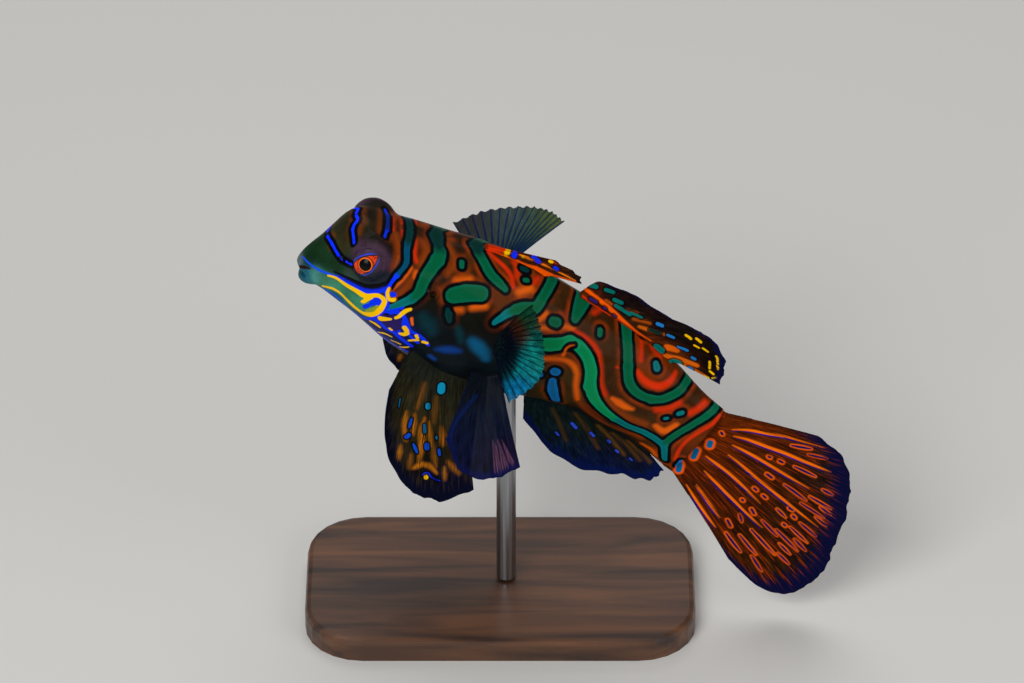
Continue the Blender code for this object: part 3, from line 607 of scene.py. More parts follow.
# Blue lines and fields with no dark outline: colour, width and pixels
LINES = (
    ("1450F0", (0.2, 0.22, 0.24, 0.26),
     ((302.8, 257), (305.2, 259.9), (310.6, 264.8), (318.2, 269.7), (325.8, 272.9), (333.4, 275.6))),
    (STRIPE_BLUE, (0.26, 0.3, 0.36, 0.48, 0.5),
     ((333.4, 275.6), (341, 278.6), (348.5, 282.4), (355, 286), (361.6, 289.6), (369.1, 291.7))),
    (STRIPE_BLUE, (0.5, 0.46, 0.4), ((369.1, 291.7), (376.7, 291.4), (383.2, 290.3), (388, 287.4))),
    (STRIPE_BLUE, (0.4, 0.36, 0.4), ((386, 291), (386.4, 296), (387.6, 302), (387.6, 307))),
    (STRIPE_BLUE, (0.5, 0.5, 0.36, 0.8, 0.9, 0.6),
     ((364.4, 307), (367, 305.8), (370, 304), (374, 301.8), (377.6, 300.8), (379.6, 302))),
    (STRIPE_BLUE, 0.55, ((392.4, 294.4), (393.6, 295))),
    ("1450F0", (0.2, 0.26, 0.3, 0.34),
     ((322.6, 288.1), (330.1, 292.5), (336.6, 297), (342, 301.9), (347.5, 307.3), (355, 312.8))),
    (STRIPE_BLUE, (0.34, 0.36, 0.4), ((355, 312.8), (361.6, 317), (368.1, 319.2), (374.6, 318.1))),
    (STRIPE_BLUE, (0.4, 0.4, 0.4), ((374.6, 318.1), (380, 313.8), (385.4, 308.6), (388, 305))),
    (STRIPE_BLUE, 0.5, ((374, 319), (381, 324), (386, 329), (394, 332), (400, 338), (411, 346))),
    (STRIPE_BLUE, 0.4, ((390, 313), (398, 312), (404, 317), (407, 322), (410, 331), (420, 336), (428, 345))),
    (STRIPE_BLUE, 0.4, ((367, 324.5), (375, 330), (384, 338), (396, 346), (408, 352))),
    (STRIPE_BLUE, 0.34, ((404, 320), (403, 326), (409, 335), (418, 343))),
    (STRIPE_BLUE, 0.34, ((399, 331), (397, 336))),
    (STRIPE_BLUE, 0.3, ((385, 312), (396, 309.8), (403, 308))),
    # painted shade: a black line in the crease under the eye's dome, and a dark red line between the lips
    # where the mouth opens
    (CREASE_SHADE, (0.2, 0.42, 0.6, 0.66, 0.4),
     ((334, 271.6), (344, 276.6), (355, 282), (366, 286.4), (377, 286.6), (385.5, 283))),
    (MOUTH_SHADE, (0.3, 0.34, 0.2), ((298.5, 266.6), (304, 267), (310, 268.6))),
)

# The ground between the markings: colour, reach in mm, how much the markings glow orange
# there, and a pixel in the middle of the area
SNOUT_GREEN = "17361F"
OLIVE = "32301A"
BROW = "1C1912"
DOME_VIOLET = "4A3448"
DOME_SHADE = "1E2630"
EYE_CRESCENT = "2E4038"
CHEEK_AQUA = "4A9088"
CHEEK_MINT = "4A9272"
CHEEK_GREEN = "3A8464"
LIP_TEAL = "1E6A80"
LIP_GREY = "5A7078"
CHIN_BLUE = "0E4A66"
THROAT_BLUE = "0A1A60"
# Chest: its own dark teal-black, which also lays painted shade over the lower front of the flank
CHEST_AND_SHADE = "0C151A"
SHADE = "14150F"
DARK_BROWN = "2A190A"
BROWN = "3E240C"
WARM_BROWN = "5A2806"
MOSS = "3C2C0E"
RUST = "6A2C06"
GROUND = (
    (SNOUT_GREEN, 1.2, 0.0, (312, 252)), (SNOUT_GREEN, 1.4, 0.0, (328, 254)),
    (SNOUT_GREEN, 1.0, 0.0, (338, 266)), (OLIVE, 1.4, 0.1, (342, 238)), (OLIVE, 1.2, 0.2, (362, 224)),
    (DARK_BROWN, 1.3, 0.2, (378, 224)), (BROW, 1.0, 0.0, (364, 207)), (BROW, 1.0, 0.0, (375, 203)),
    (BROW, 1.0, 0.0, (386, 207)), (BROW, 1.0, 0.1, (370, 214)), (DOME_VIOLET, 1.0, 0.0, (362, 246)),
    (DOME_VIOLET, 1.0, 0.0, (376, 250)), (DOME_VIOLET, 0.8, 0.0, (384, 262)),
    (DOME_SHADE, 0.9, 0.0, (379, 278)), (DOME_SHADE, 0.8, 0.0, (364, 279)),
    (DOME_SHADE, 0.5, 0.0, (348, 262)), (EYE_CRESCENT, 0.5, 0.0, (348, 272)),
    (EYE_CRESCENT, 0.5, 0.0, (355, 279)), (CHEEK_AQUA, 0.7, 0.0, (316, 274)),
    (CHEEK_MINT, 0.8, 0.0, (328, 282)), (CHEEK_GREEN, 0.8, 0.0, (342, 290)),
    (CHEEK_GREEN, 0.8, 0.0, (352, 298)), (CHEEK_GREEN, 0.7, 0.0, (361, 304)),
    (LIP_TEAL, 0.7, 0.0, (304, 274)), (LIP_GREY, 0.5, 0.0, (300, 260)), (CHIN_BLUE, 0.8, 0.0, (335, 297)),
    (CHIN_BLUE, 0.8, 0.0, (352, 312)), (THROAT_BLUE, 0.9, 0.0, (370, 327)), (VIOLET, 0.9, 0.0, (388, 316)),
    (VIOLET, 0.9, 0.0, (399, 326)), (THROAT_BLUE, 0.9, 0.0, (392, 340)),
    # the dark chest colour from here on is partly painted shade, most of all on the lower front of the flank
    (THROAT_BLUE, 0.9, 0.0, (414, 333)), (CHEST_AND_SHADE, 1.2, 0.0, (428, 348)), (DARK_BROWN, 1.6, 0.8, (398, 240)),
    (DARK_BROWN, 1.6, 0.6, (424, 240)), (DARK_BROWN, 1.6, 0.7, (452, 258)),
    (DARK_BROWN, 1.4, 0.4, (446, 288)), (SHADE, 1.4, 0.1, (436, 300)), (CHEST_AND_SHADE, 1.6, 0.0, (425, 325)),
    (CHEST_AND_SHADE, 1.6, 0.0, (445, 335)), (SHADE, 1.4, 0.2, (462, 315)), (CHEST_AND_SHADE, 1.8, 0.0, (470, 345)),
    (SHADE, 1.6, 0.1, (475, 325)), (CHEST_AND_SHADE, 2.0, 0.0, (490, 370)), (CHEST_AND_SHADE, 2.0, 0.0, (505, 390)),
    (WARM_BROWN, 1.6, 1.0, (501, 291)), (BROWN, 1.8, 0.8, (470, 270)), (BROWN, 1.8, 0.9, (530, 290)),
    (BROWN, 1.8, 0.8, (565, 305)), (DARK_BROWN, 1.8, 0.9, (548, 333)), (BROWN, 1.8, 0.7, (608, 365)),
    (MOSS, 1.8, 0.6, (560, 385)), (MOSS, 1.8, 0.5, (548, 392)), (SHADE, 1.8, 0.3, (580, 418)),
    (SHADE, 1.6, 0.4, (600, 428)), (BROWN, 1.8, 0.8, (640, 412)), (RUST, 1.6, 1.0, (652, 360)),
    (BROWN, 1.6, 0.9, (680, 405)), (BROWN, 1.6, 0.8, (650, 445)), (RUST, 1.6, 1.0, (695, 445)),
    (RUST, 1.6, 1.0, (712, 430)), (BROWN, 1.6, 0.9, (683, 470)),
)


def linear(code):
    """A colour from its sRGB hex code, for a shader or an attribute."""
    parts = np.array([int(code[i:i + 2], 16) for i in (0, 2, 4)]) / 255
    return np.where(parts <= 0.04045, parts / 12.92, ((parts + 0.055) / 1.055) ** 2.4)


def drawn(line, step):
    """A smooth line through pixels, with points about a step apart, and how far along each is."""
    line = np.array(line, float)
    count = len(line)
    slopes = np.gradient(line, axis=0)
    points = []
    places = []
    for i in range(count - 1):
        parts = max(1, round(np.linalg.norm(line[i + 1] - line[i]) / step))
        for k in range(parts + (i == count - 2)):
            t = k / parts
            start = (1 + 2 * t) * (1 - t) ** 2 * line[i] + t * (1 - t) ** 2 * slopes[i]
            end = t * t * (3 - 2 * t) * line[i + 1] - t * t * (1 - t) * slopes[i + 1]
            points.append(start + end)
            places.append((i + t) / (count - 1))
    return np.array(points), np.array(places)


LEAST_SPREAD = 0.002           # square pixels that a grid cell covers where it is seen edge on
MOST_COLUMNS = 6               # cells that a spot may lie from the nearest point
AVERTED = 40                   # added to the depth of points that face away from the camera
CAST_STEP = 2.0                # pixels between the points of a marking


class Canvas:
    """A grid of surface points that markings are cast on to, from the camera's place.

    facing says which of its points look at the camera, where some don't.
    """

    def __init__(self, grid, facing=None):
        x, y, depth = pixels_of(grid)
        self.x = x.ravel()
        self.y = y.ravel()
        self.seen = np.stack((x, y), -1)
        self.depth = depth.ravel() - depth.min()
        if facing is not None:
            self.depth[~facing.ravel()] += AVERTED
        self.shape = x.shape

    def under(self, pixel):
        """Row and column of the grid's point that the pixel shows."""
        off = (self.x - pixel[0]) ** 2 + (self.y - pixel[1]) ** 2
        return np.unravel_index(np.argmin(off + self.depth), self.shape)

    def spot(self, pixel):
        """Row and column, worked out between the grid's points, of the spot that the pixel shows."""
        row, column = self.under(pixel)
        row = min(max(row, 1), self.shape[0] - 2)
        column = min(max(column, 1), self.shape[1] - 2)
        by_row = (self.seen[row + 1, column] - self.seen[row - 1, column]) / 2
        by_column = (self.seen[row, column + 1] - self.seen[row, column - 1]) / 2
        off = np.array(pixel) - self.seen[row, column]
        spread = by_row[0] * by_column[1] - by_row[1] * by_column[0]
        if abs(spread) < LEAST_SPREAD:
            return float(row), float(column)
        rows = (off[0] * by_column[1] - off[1] * by_column[0]) / spread
        columns = (by_row[0] * off[1] - by_row[1] * off[0]) / spread
        return row + np.clip(rows, -1, 1), column + np.clip(columns, -MOST_COLUMNS, MOST_COLUMNS)

    def cast(self, line, widths):
        """Rows, columns and radii of a marking."""
        pixels, places = drawn(line, CAST_STEP)
        widths = np.atleast_1d(widths)
        radii = np.interp(places, np.linspace(0, 1, len(widths)), widths) / 2
        cells = np.array([self.spot(pixel) for pixel in pixels])
        return cells[:, 0], cells[:, 1], radii


FAR = 9.0                      # mm, stands for any greater distance
NEAR = 3.0                     # mm round a marking in which distances are worked out
TINT_BLEND = 0.5               # how softly neighbouring markings' colours meet
EVENING_ROUNDS = 3


def distance(points, line, radii):
    """How far points lie outside a marking, in mm; negative inside it."""
    gap = np.full(len(points), FAR)
    near = np.flatnonzero(((points > line.min(0) - NEAR) & (points < line.max(0) + NEAR)).all(1))
    at = points[near]
    best = np.full(len(near), FAR)
    for a, b, start, end in zip(line, line[1:], radii, radii[1:]):
        along = b - a
        t = np.clip((at - a) @ along / max(along @ along, 1e-9), 0, 1)
        off = np.linalg.norm(at - a - t[:, None] * along, axis=1)
        best = np.minimum(best, off - start - (end - start) * t)
    gap[near] = best
    return gap


def layer(points, marks, blend=0.0):
    """The nearest marking's distance and colour at each point.

    Marks are colour, line, radii and softness; a distance is a share of the softness.
    """
    nearest = np.full(len(points), FAR)
    tint = np.zeros((len(points), 3))
    for colour, line, radii, soft in marks:
        gap = distance(points, line, radii) / soft
        closer = gap < nearest
        share = np.clip(0.5 + (nearest - gap) / TINT_BLEND, 0, 1)[:, None]
        tint = np.where(closer[:, None] | (share > 0), tint * (1 - share) + linear(colour) * share, tint)
        if blend:
            mix = np.clip(0.5 + 0.5 * (gap - nearest) / blend, 0, 1)
            nearest = gap + (nearest - gap) * mix - blend * mix * (1 - mix)
        else:
            nearest = np.minimum(nearest, gap)
    return nearest, tint


def store(mesh, name, values):
    """Writes one number or one colour for each point of the mesh."""
    values = np.asarray(values, np.float32)
    if values.ndim == 1:
        mesh.attributes.new(name, "FLOAT", "POINT").data.foreach_set("value", values)
    else:
        colours = np.hstack((values, np.ones((len(values), 1), np.float32)))
        mesh.attributes.new(name, "FLOAT_COLOR", "POINT").data.foreach_set("color", colours.ravel())


def places(mesh):
    """The mesh's points as an array."""
    found = np.empty(len(mesh.vertices) * 3, np.float32)
    mesh.vertices.foreach_get("co", found)
    return found.reshape(-1, 3).astype(float)


CANVAS_STATIONS = 456
CANVAS_TURNS = 461
CANVAS_FROM = -50              # degrees; the canvas runs a little over the back's ridge
CANVAS_TO = 180
CRISP = 0.07                   # softness below which a warm marking lies over the blue lines
CRISP_REACH = 2.0
BAND_BLEND = 0.25              # how roundly the pieces of a band flow together

canvas_stations = np.linspace(0, BODY_LENGTH, CANVAS_STATIONS)
canvas_turns = np.linspace(CANVAS_FROM, CANVAS_TO, CANVAS_TURNS)
canvas_points = skin(canvas_stations[:, None], canvas_turns[None, :], relief=1.0)
canvas_normals = np.cross(np.gradient(canvas_points, axis=1), np.gradient(canvas_points, axis=0))
skin_canvas = Canvas(canvas_points, ((canvas_points - EYE_POINT) * canvas_normals).sum(-1) < 0)


def evened(values, rounds=EVENING_ROUNDS):
    """Takes the jitter out of a run of values, with its ends kept."""
    for _ in range(rounds):
        middle = (values[:-2] + 2 * values[1:-1] + values[2:]) / 4
        values = np.concatenate((values[:1], middle, values[-1:]))
    return values


def both_sides(colour, widths, line, soft=1.0):
    """A marking on the left side and its mirror image on the right, which meet at the back's ridge."""
    rows, columns, radii = skin_canvas.cast(line, widths)
    s = np.interp(rows, np.arange(len(canvas_stations)), canvas_stations)
    turn = np.interp(columns, np.arange(len(canvas_turns)), canvas_turns)
    kept = turn > 0
    if kept.sum() < 2:
        kept[:] = True
    s = evened(s[kept])
    turn = evened(turn[kept].clip(0))
    return [(colour, skin(s, side * turn, relief=1.0), radii[kept], soft) for side in (LEFT, RIGHT)]


def fading(points, centre, reach):
    """How much of a ground colour lies at points: all at its centre, and an eighth at its reach."""
    return 1 / (1 + (np.linalg.norm(points - centre, axis=1) / reach) ** 2) ** 3


def ground_at(points):
    """The colour between the markings at any points, and how much the markings glow there."""
    ground = np.zeros((len(points), 3))
    glow = np.zeros(len(points))
    weight = np.full(len(points), 1e-9)
    for colour, reach, warmth, pixel in GROUND:
        row, column = skin_canvas.under(pixel)
        for side in (LEFT, RIGHT):
            centre = skin(canvas_stations[row], side * canvas_turns[column], relief=1.0)
            share = fading(points, centre, reach)
            ground += share[:, None] * linear(colour)
            glow += share * warmth
            weight += share
    return ground / weight[:, None], glow / weight


def both_sides_of(marks):
    """All the markings of a table, on both sides."""
    return [mark for row in marks for mark in both_sides(*row)]


skin_points = places(body.data)
band_gap, band_tint = layer(skin_points, both_sides_of(BANDS), BAND_BLEND)
notch_gap, _ = layer(skin_points, both_sides_of(NOTCHES))
band_gap = np.maximum(band_gap, -notch_gap)
warm_rows = [both_sides(colour, widths, line, soft) for colour, soft, widths, line in WARM]
warm_gap, warm_tint = layer(skin_points, [mark for row in warm_rows for mark in row])
line_gap, line_tint = layer(skin_points, both_sides_of(LINES))
ground, glow = ground_at(skin_points)
crisp_marks = [mark for row, (_, soft, _, _) in zip(warm_rows, WARM) if soft < CRISP for mark in row]
crisp_gap, _ = layer(skin_points, crisp_marks)
for name, values in (
    ("ground", ground), ("glow", glow), ("band", band_gap), ("band_tint", band_tint),
    ("warm", warm_gap), ("warm_tint", warm_tint), ("line", line_gap), ("line_tint", line_tint),
    ("crisp", (crisp_gap < CRISP_REACH).astype(float)),
):
    store(body.data, name, values)
body.data.transform(Matrix.Scale(METRES, 4))


def node(tree, kind, settings=None, inputs=None):
    """Adds a node with its settings; each input is a value or another node's output."""
    made = tree.nodes.new(kind)
    for name, value in (settings or {}).items():
        setattr(made, name, value)
    for key, value in (inputs or {}).items():
        if isinstance(value, bpy.types.NodeSocket):
            tree.links.new(value, made.inputs[key])
        else:
            made.inputs[key].default_value = value
    return made


def colour4(code):
    """An sRGB hex code as the four numbers that a colour socket takes."""
    return (*linear(code), 1.0)


def bare_material(name):
    """A new material and its node tree, with no nodes yet."""
    material = bpy.data.materials.new(name)
    material.use_nodes = True
    material.node_tree.nodes.clear()
    return material, material.node_tree


def coated(tree, base, *coats):
    """Lays coats of colour over a base colour, one after the other.

    A coat has its colour, how it blends and its steps, whose product is how much of it shows. A
    step is a field alone, or a field with two of its values and the share shown at each.
    """
    for colour, how, *steps in coats:
        shown = 1.0
        for count, step in enumerate(steps):
            if isinstance(step, tuple):
                field, first, last, least, most = step
                step = node(tree, "ShaderNodeMapRange", {"interpolation_type": "SMOOTHSTEP"},
                            {0: field, 1: first, 2: last, 3: least, 4: most}).outputs[0]
            if count:
                step = node(tree, "ShaderNodeMath", {"operation": "MULTIPLY"}, {0: shown, 1: step}).outputs[0]
            shown = step
        base = node(tree, "ShaderNodeMix", {"data_type": "RGBA", "blend_type": how},
                    {0: shown, 6: base, 7: colour}).outputs[2]
    return base


EDGE_STRAY = 0.14              # mm that the bands' edges wander, from side to side
LINE_STRAY = 0.35              # share of it that the head's lines wander
GLOW_ORANGE = "A83C06"
OUTLINE_BLACK = "06070A"


def skin_material():
    """Living fish skin, wet: smooth pigment under clear mucus, deep in colour with small soft glints."""
    material, tree = bare_material("fish skin, wet and scaleless")
    place = node(tree, "ShaderNodeTexCoord").outputs["Object"]
    # 0.7 mm unevenness of the markings' edges, 2.5 mm clouding and 0.2 mm grain
    edge, cloud, grain = (
        node(tree, "ShaderNodeTexNoise", None, {"Vector": place, "Scale": scale, "Detail": detail}).outputs[0]
        for scale, detail in ((1400.0, 2.0), (420.0, 4.0), (5200.0, 3.0))
    )
    fields = {
        name: node(tree, "ShaderNodeAttribute", {"attribute_name": name}).outputs
        for name in ("ground", "glow", "band", "band_tint", "warm", "warm_tint", "line", "line_tint", "crisp")
    }
    centred = node(tree, "ShaderNodeMath", {"operation": "SUBTRACT"}, {0: edge, 1: 0.5}).outputs[0]
    stray = node(tree, "ShaderNodeMath", {"operation": "MULTIPLY"}, {0: centred, 1: EDGE_STRAY}).outputs[0]
    less = node(tree, "ShaderNodeMath", {"operation": "MULTIPLY"}, {0: stray, 1: LINE_STRAY}).outputs[0]
    band = node(tree, "ShaderNodeMath", {"operation": "ADD"}, {0: fields["band"]["Fac"], 1: stray}).outputs[0]
    line = node(tree, "ShaderNodeMath", {"operation": "ADD"}, {0: fields["line"]["Fac"], 1: less}).outputs[0]
    warm = fields["warm"]["Fac"]
    warm_tint = fields["warm_tint"]["Color"]
    band_tint = fields["band_tint"]["Color"]
    clouded_warm = coated(tree, warm_tint, ((0.75, 0.6, 0.5, 1), "MULTIPLY", (cloud, 0.4, 0.7, 0.0, 0.5)))
    bright_rim = coated(tree, band_tint, ((1.25, 1.2, 1.7, 1), "MULTIPLY"))
    band_colour = coated(
        tree, band_tint,
        ((0.6, 0.72, 0.7, 1), "MULTIPLY", (cloud, 0.3, 0.7, 0.0, 0.4)),
        (bright_rim, "MIX", (band, -0.4, -0.12, 0.0, 0.75)),
    )
    base = coated(
        tree, fields["ground"]["Color"],
        ((0.62, 0.6, 0.58, 1), "MULTIPLY", (cloud, 0.35, 0.65, 0.0, 1.0)),
        ((1.5, 1.45, 1.4, 1), "MULTIPLY", (grain, 0.3, 0.75, 0.0, 0.35)),
        # orange glow round each band
        (colour4(GLOW_ORANGE), "MIX", (band, 0.26, 0.45, 0.0, 1.0), (band, 1.0, 0.45, 0.0, 1.0),
         fields["glow"]["Fac"], (cloud, 0.34, 0.64, 0.0, 0.75)),
        (clouded_warm, "MIX", (warm, 1.0, -1.0, 0.0, 0.95)),
        # black outline, then the band with its brighter rim
        (colour4(OUTLINE_BLACK), "MIX", (band, 0.46, 0.26, 0.0, 1.0)),
        (band_colour, "MIX", (band, 0.03, -0.03, 0.0, 1.0)),
        (fields["line_tint"]["Color"], "MIX", (line, 0.04, -0.04, 0.0, 1.0)),
        # yellow lies over the blue lines
        (warm_tint, "MIX", (warm, 1.0, -1.0, 0.0, 1.0), (fields["crisp"]["Fac"], 0.4, 0.6, 0.0, 1.0)),
    )
    broad = node(tree, "ShaderNodeMath", {"operation": "MULTIPLY"}, {0: cloud, 1: 1.5}).outputs[0]
    relief = node(tree, "ShaderNodeMath", {"operation": "ADD"}, {0: grain, 1: broad}).outputs[0]
    bump = node(tree, "ShaderNodeBump", None, {"Strength": 0.25, "Distance": 0.00004, "Height": relief})
    shader = node(tree, "ShaderNodeBsdfPrincipled", None, {
        "Base Color": base, "Roughness": 0.45, "IOR": 1.38, "Specular IOR Level": 0.03,
        "Coat Weight": 0.1, "Coat Roughness": 0.08, "Coat IOR": 1.34, "Normal": bump.outputs[0],
    })
    node(tree, "ShaderNodeOutputMaterial", None, {"Surface": shader.outputs[0]})
    return material


body.data.materials.append(skin_material())
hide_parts("head", "trunk", "tail_stem")
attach(body, "root")

# The eyes: wet balls that sit in the domes, violet grey, with an orange-red iris that runs out to
# points, a round black pupil with a thin orange edge and blue hairlines round the iris. Each is
# one ball that bulges a little over the pupil, coloured by distances across its face.
EYE_AROUND = 128
EYE_RINGS = 96
CORNEA_BULGE = 0.1
CORNEA_SPREAD = 0.5                       # radians
PUPIL_AT = (365.1, 265.1)                 # pixels of the picture
PUPIL_RADIUS = 0.6
IRIS_TIPS = ((352.0, 271.5), (378.0, 256.0))
IRIS_HALF_HEIGHT = 0.76


def eye_frame(side):
    """Directions across the face of an eye, towards the tail and up, and the way it looks."""
    look = gaze(side)
    tail = heading(EYE_STATION)[0]
    tail = tail - look * (tail @ look)
    tail /= np.linalg.norm(tail)
    up = np.cross(look, tail) * side
    return tail, up, look


def on_eye(pixel):
    """Where a pixel meets the left eyeball, as distances across the eye's face."""
    reach = LENS / SENSOR * PICTURE[0]
    across = (pixel[0] - PICTURE[0] / 2) / reach
    up = (PICTURE[1] / 2 - pixel[1]) / reach
    ray = SIGHT + UPRIGHT * up + np.array((across, 0.0, 0.0))
    ray /= np.linalg.norm(ray)
    to_centre = eyeball_centre(LEFT) - EYE_POINT
    along = to_centre @ ray
    depth = EYE_RADIUS ** 2 - to_centre @ to_centre + along ** 2
    hit = ray * (along - math.sqrt(max(depth, 0.0))) - to_centre
    tail, up, _ = eye_frame(LEFT)
    return np.array((hit @ tail, hit @ up))


def eye_piece(side):
    """One eyeball, with signed distances from its pupil and from the almond of its iris."""
    tail, up, look = eye_frame(side)
    polar = np.linspace(0, np.pi, EYE_RINGS + 1)[1:-1, None]
    angle = np.linspace(0, 2 * np.pi, EYE_AROUND, endpoint=False)[None, :]
    radius = EYE_RADIUS + CORNEA_BULGE * np.exp(-(polar / CORNEA_SPREAD) ** 2)
    spot = [radius * np.sin(polar) * np.cos(angle), radius * np.sin(polar) * np.sin(angle),
            radius * np.cos(polar) + 0 * angle]
    centre = eyeball_centre(side)
    rings = centre + spot[0][..., None] * tail + spot[1][..., None] * up + spot[2][..., None] * look
    name = "eye_ball_left" if side == LEFT else "eye_ball_right"
    eye = outward(rings_piece(name, rings))
    off = places(eye.data) - centre
    face = np.stack((off @ tail, off @ up), -1)
    behind = np.where(off @ look < 0, FAR, 0.0)
    first, last = (on_eye(pixel) for pixel in IRIS_TIPS)
    half_length = np.linalg.norm(last - first) / 2
    long_way = (last - first) / (2 * half_length)
    short_way = np.array((-long_way[1], long_way[0]))
    from_middle = face - (first + last) / 2
    bow = (half_length ** 2 + IRIS_HALF_HEIGHT ** 2) / (2 * IRIS_HALF_HEIGHT)
    x = from_middle @ long_way
    y = np.abs(from_middle @ short_way)
    store(eye.data, "ground", ground_at(places(eye.data))[0])
    store(eye.data, "iris", np.hypot(x, y + bow - IRIS_HALF_HEIGHT) - bow + behind)
    store(eye.data, "tip", np.abs(x) / half_length)
    store(eye.data, "pupil", np.linalg.norm(face - on_eye(PUPIL_AT), axis=1) - PUPIL_RADIUS + behind)
    eye.data.transform(Matrix.Scale(METRES, 4))
    return eye


def eye_material():
    """Living eye, wet and clear-coated: a smooth cornea over pigment, so one sharp glint sits on it."""
    material, tree = bare_material("eye, wet cornea")
    place = node(tree, "ShaderNodeTexCoord").outputs["Object"]
    mottle = node(tree, "ShaderNodeTexNoise", None,
                  {"Vector": place, "Scale": 1800.0, "Detail": 4.0}).outputs[0]
    fields = {
        name: node(tree, "ShaderNodeAttribute", {"attribute_name": name}).outputs
        for name in ("iris", "pupil", "tip", "ground")
    }
    iris = fields["iris"]["Fac"]
    pupil = fields["pupil"]["Fac"]
    flame = coated(
        tree, colour4("F84404"),
        (colour4("8C1804"), "MIX", (mottle, 0.4, 0.7, 0.0, 1.0)),
        (colour4("3A1208"), "MIX", (pupil, 0.35, 0.1, 0.0, 1.0)),
    )
    base = coated(
        tree, fields["ground"]["Color"],
        (colour4("1A1630"), "MIX", (mottle, 0.35, 0.65, 0.0, 0.3)),
        # blue hairline round the iris, which ends short of its points
        (colour4("2A46D8"), "MIX", (iris, 0.1, 0.15, 0.0, 1.0), (iris, 0.26, 0.2, 0.0, 1.0),
         (fields["tip"]["Fac"], 1.05, 0.75, 0.0, 1.0)),
        # iris with its dark edge, then the thin orange edge of the pupil and the pupil
        (flame, "MIX", (iris, 0.02, -0.04, 0.0, 1.0)),
        (colour4("1A0A10"), "MIX", (iris, 0.06, 0.02, 0.0, 1.0), (iris, -0.02, 0.02, 0.0, 1.0)),
        (colour4("FF6E12"), "MIX", (pupil, 0.16, 0.1, 0.0, 1.0)),
        (colour4("030304"), "MIX", (pupil, 0.05, 0.0, 0.0, 1.0)),
    )
    shader = node(tree, "ShaderNodeBsdfPrincipled", None, {
        "Base Color": base, "Roughness": 0.4, "IOR": 1.38, "Specular IOR Level": 0.1,
        "Coat Weight": 0.22, "Coat Roughness": 0.02, "Coat IOR": 1.36,
    })
    node(tree, "ShaderNodeOutputMaterial", None, {"Surface": shader.outputs[0]})
    return material


eye_finish = eye_material()
for side, solid in ((LEFT, "eye_left"), (RIGHT, "eye_right")):
    eye = eye_piece(side)
    eye.data.materials.append(eye_finish)
    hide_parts(solid)
    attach(eye, "root")

# The fins: soft rays joined by thin skin, which grow out of the body's own skin. The rays are
# round and taper, and all but those of the first back fin and the pectoral fins split on their way
# out. Each fin is one closed sheet from the solid fin's sizes, with its rays built on it by
# Geometry Nodes, and the sheet starts under the skin so that no seam shows.
JOINT_GAP = 0.3                # the solid fins start this far off the skin
FOOT_DEPTH = -0.4              # and these start this far under it
FOOT_ROWS = 4                  # rows of a fin's grid under the skin
FIN_SEED = 7
KNOTS_PER_RAY = 6
RAGGED = 0.007                 # how far the margin strays, as a share of the rays' length
WAVES = 1.4                    # waves across a fin
WAVE_START = 0.15              # where the first begins, as a share of a wave
SAG = 0.12                     # mm that the skin sags between two rays
MEMBRANE_HALF = 0.06           # half the thickness of the skin between rays
FOOT_HALF = 0.45               # half the thickness where the fin leaves the skin
FOOT_REACH = 0.25              # how far out it thins down to the membrane, as a share of the length
MARGIN_THINNER = 0.6           # how much thinner the margin is than the membrane
FORK_SPREAD = (0.26, 0.12)     # how far branches part, as shares of the gap between rays
FORK_CURVE = 0.8
BRANCH_GIRTH = 0.75            # a branch's girth as a share of what it split from
RAY_TAPER = 0.68               # how much thinner a ray is at its tip
TAPER_CURVE = 1.1
LEAST_POINTS = 8
RAY_SIDES = 8
EVENING = 8                    # rounds that take the jitter out of a fin's marks


def columns_of(rows, across):
    """Each size of the key rays at places across the fin."""
    return [smooth([(row[0], row[k]) for row in rows], across) for k in range(1, len(rows[0]))]


def median_rays(rows, up, across):
    """Rays along the back (up = 1) or belly (up = -1): foot, root, direction, length and bend.

    Key rays give station, angle from the axis, lean to the left, length and the tip's bend.
    """
    station, angle, lean, length, bend = columns_of(rows, across)
    tail, left, back = heading(station)
    angle = np.radians(angle)[:, None]
    lean = np.radians(lean)[:, None]
    rise = back * np.cos(lean) * up + left * np.sin(lean)
    turn = 0.0 if up > 0 else 180.0
    direction = tail * np.cos(angle) + rise * np.sin(angle)
    foot = lifted(station, turn, FOOT_DEPTH)
    return foot, lifted(station, turn, JOINT_GAP), direction, length, rise * bend[:, None]


def normals_of(grid):
    """The direction across a fin at each point of its grid."""
    normal = np.cross(np.gradient(grid, axis=0), np.gradient(grid, axis=1))
    return normal / np.linalg.norm(normal, axis=-1, keepdims=True)


def fin_grid(rays, count, per_gap, rows, scallop, wave):
    """Points of a fin's middle surface from foot to margin, and how far out each ray's length goes.

    The skin sags a little between rays, the whole fin waves, and its margin is scalloped.
    """
    columns = (count - 1) * per_gap + 1
    across = np.linspace(0, 1, columns)
    along = np.concatenate((np.linspace(-1, 0, FOOT_ROWS)[:-1], np.linspace(0, 1, rows)))
    foot, root, direction, length, bend = rays(across)
    on_ray = 0.5 + 0.5 * np.cos(2 * np.pi * np.arange(columns) / per_gap)
    chance = np.random.default_rng(FIN_SEED)
    knots = np.linspace(0, 1, KNOTS_PER_RAY * count)
    ragged = np.interp(across, knots, chance.uniform(-1, 1, len(knots)))
    length = length * (1 - scallop * (1 - on_ray) + RAGGED * ragged)
    out = np.maximum(along, 0)[:, None, None]
    grid = root + direction * length[:, None] * out + bend * out ** 2
    grid = grid + (root - foot) * np.minimum(along, 0)[:, None, None]
    normal = normals_of(grid)
    ripple = wave * np.sin(2 * np.pi * (WAVES * across + WAVE_START)) - SAG * (1 - on_ray)
    return grid + normal * ripple[:, None] * out ** 1.3, along, length


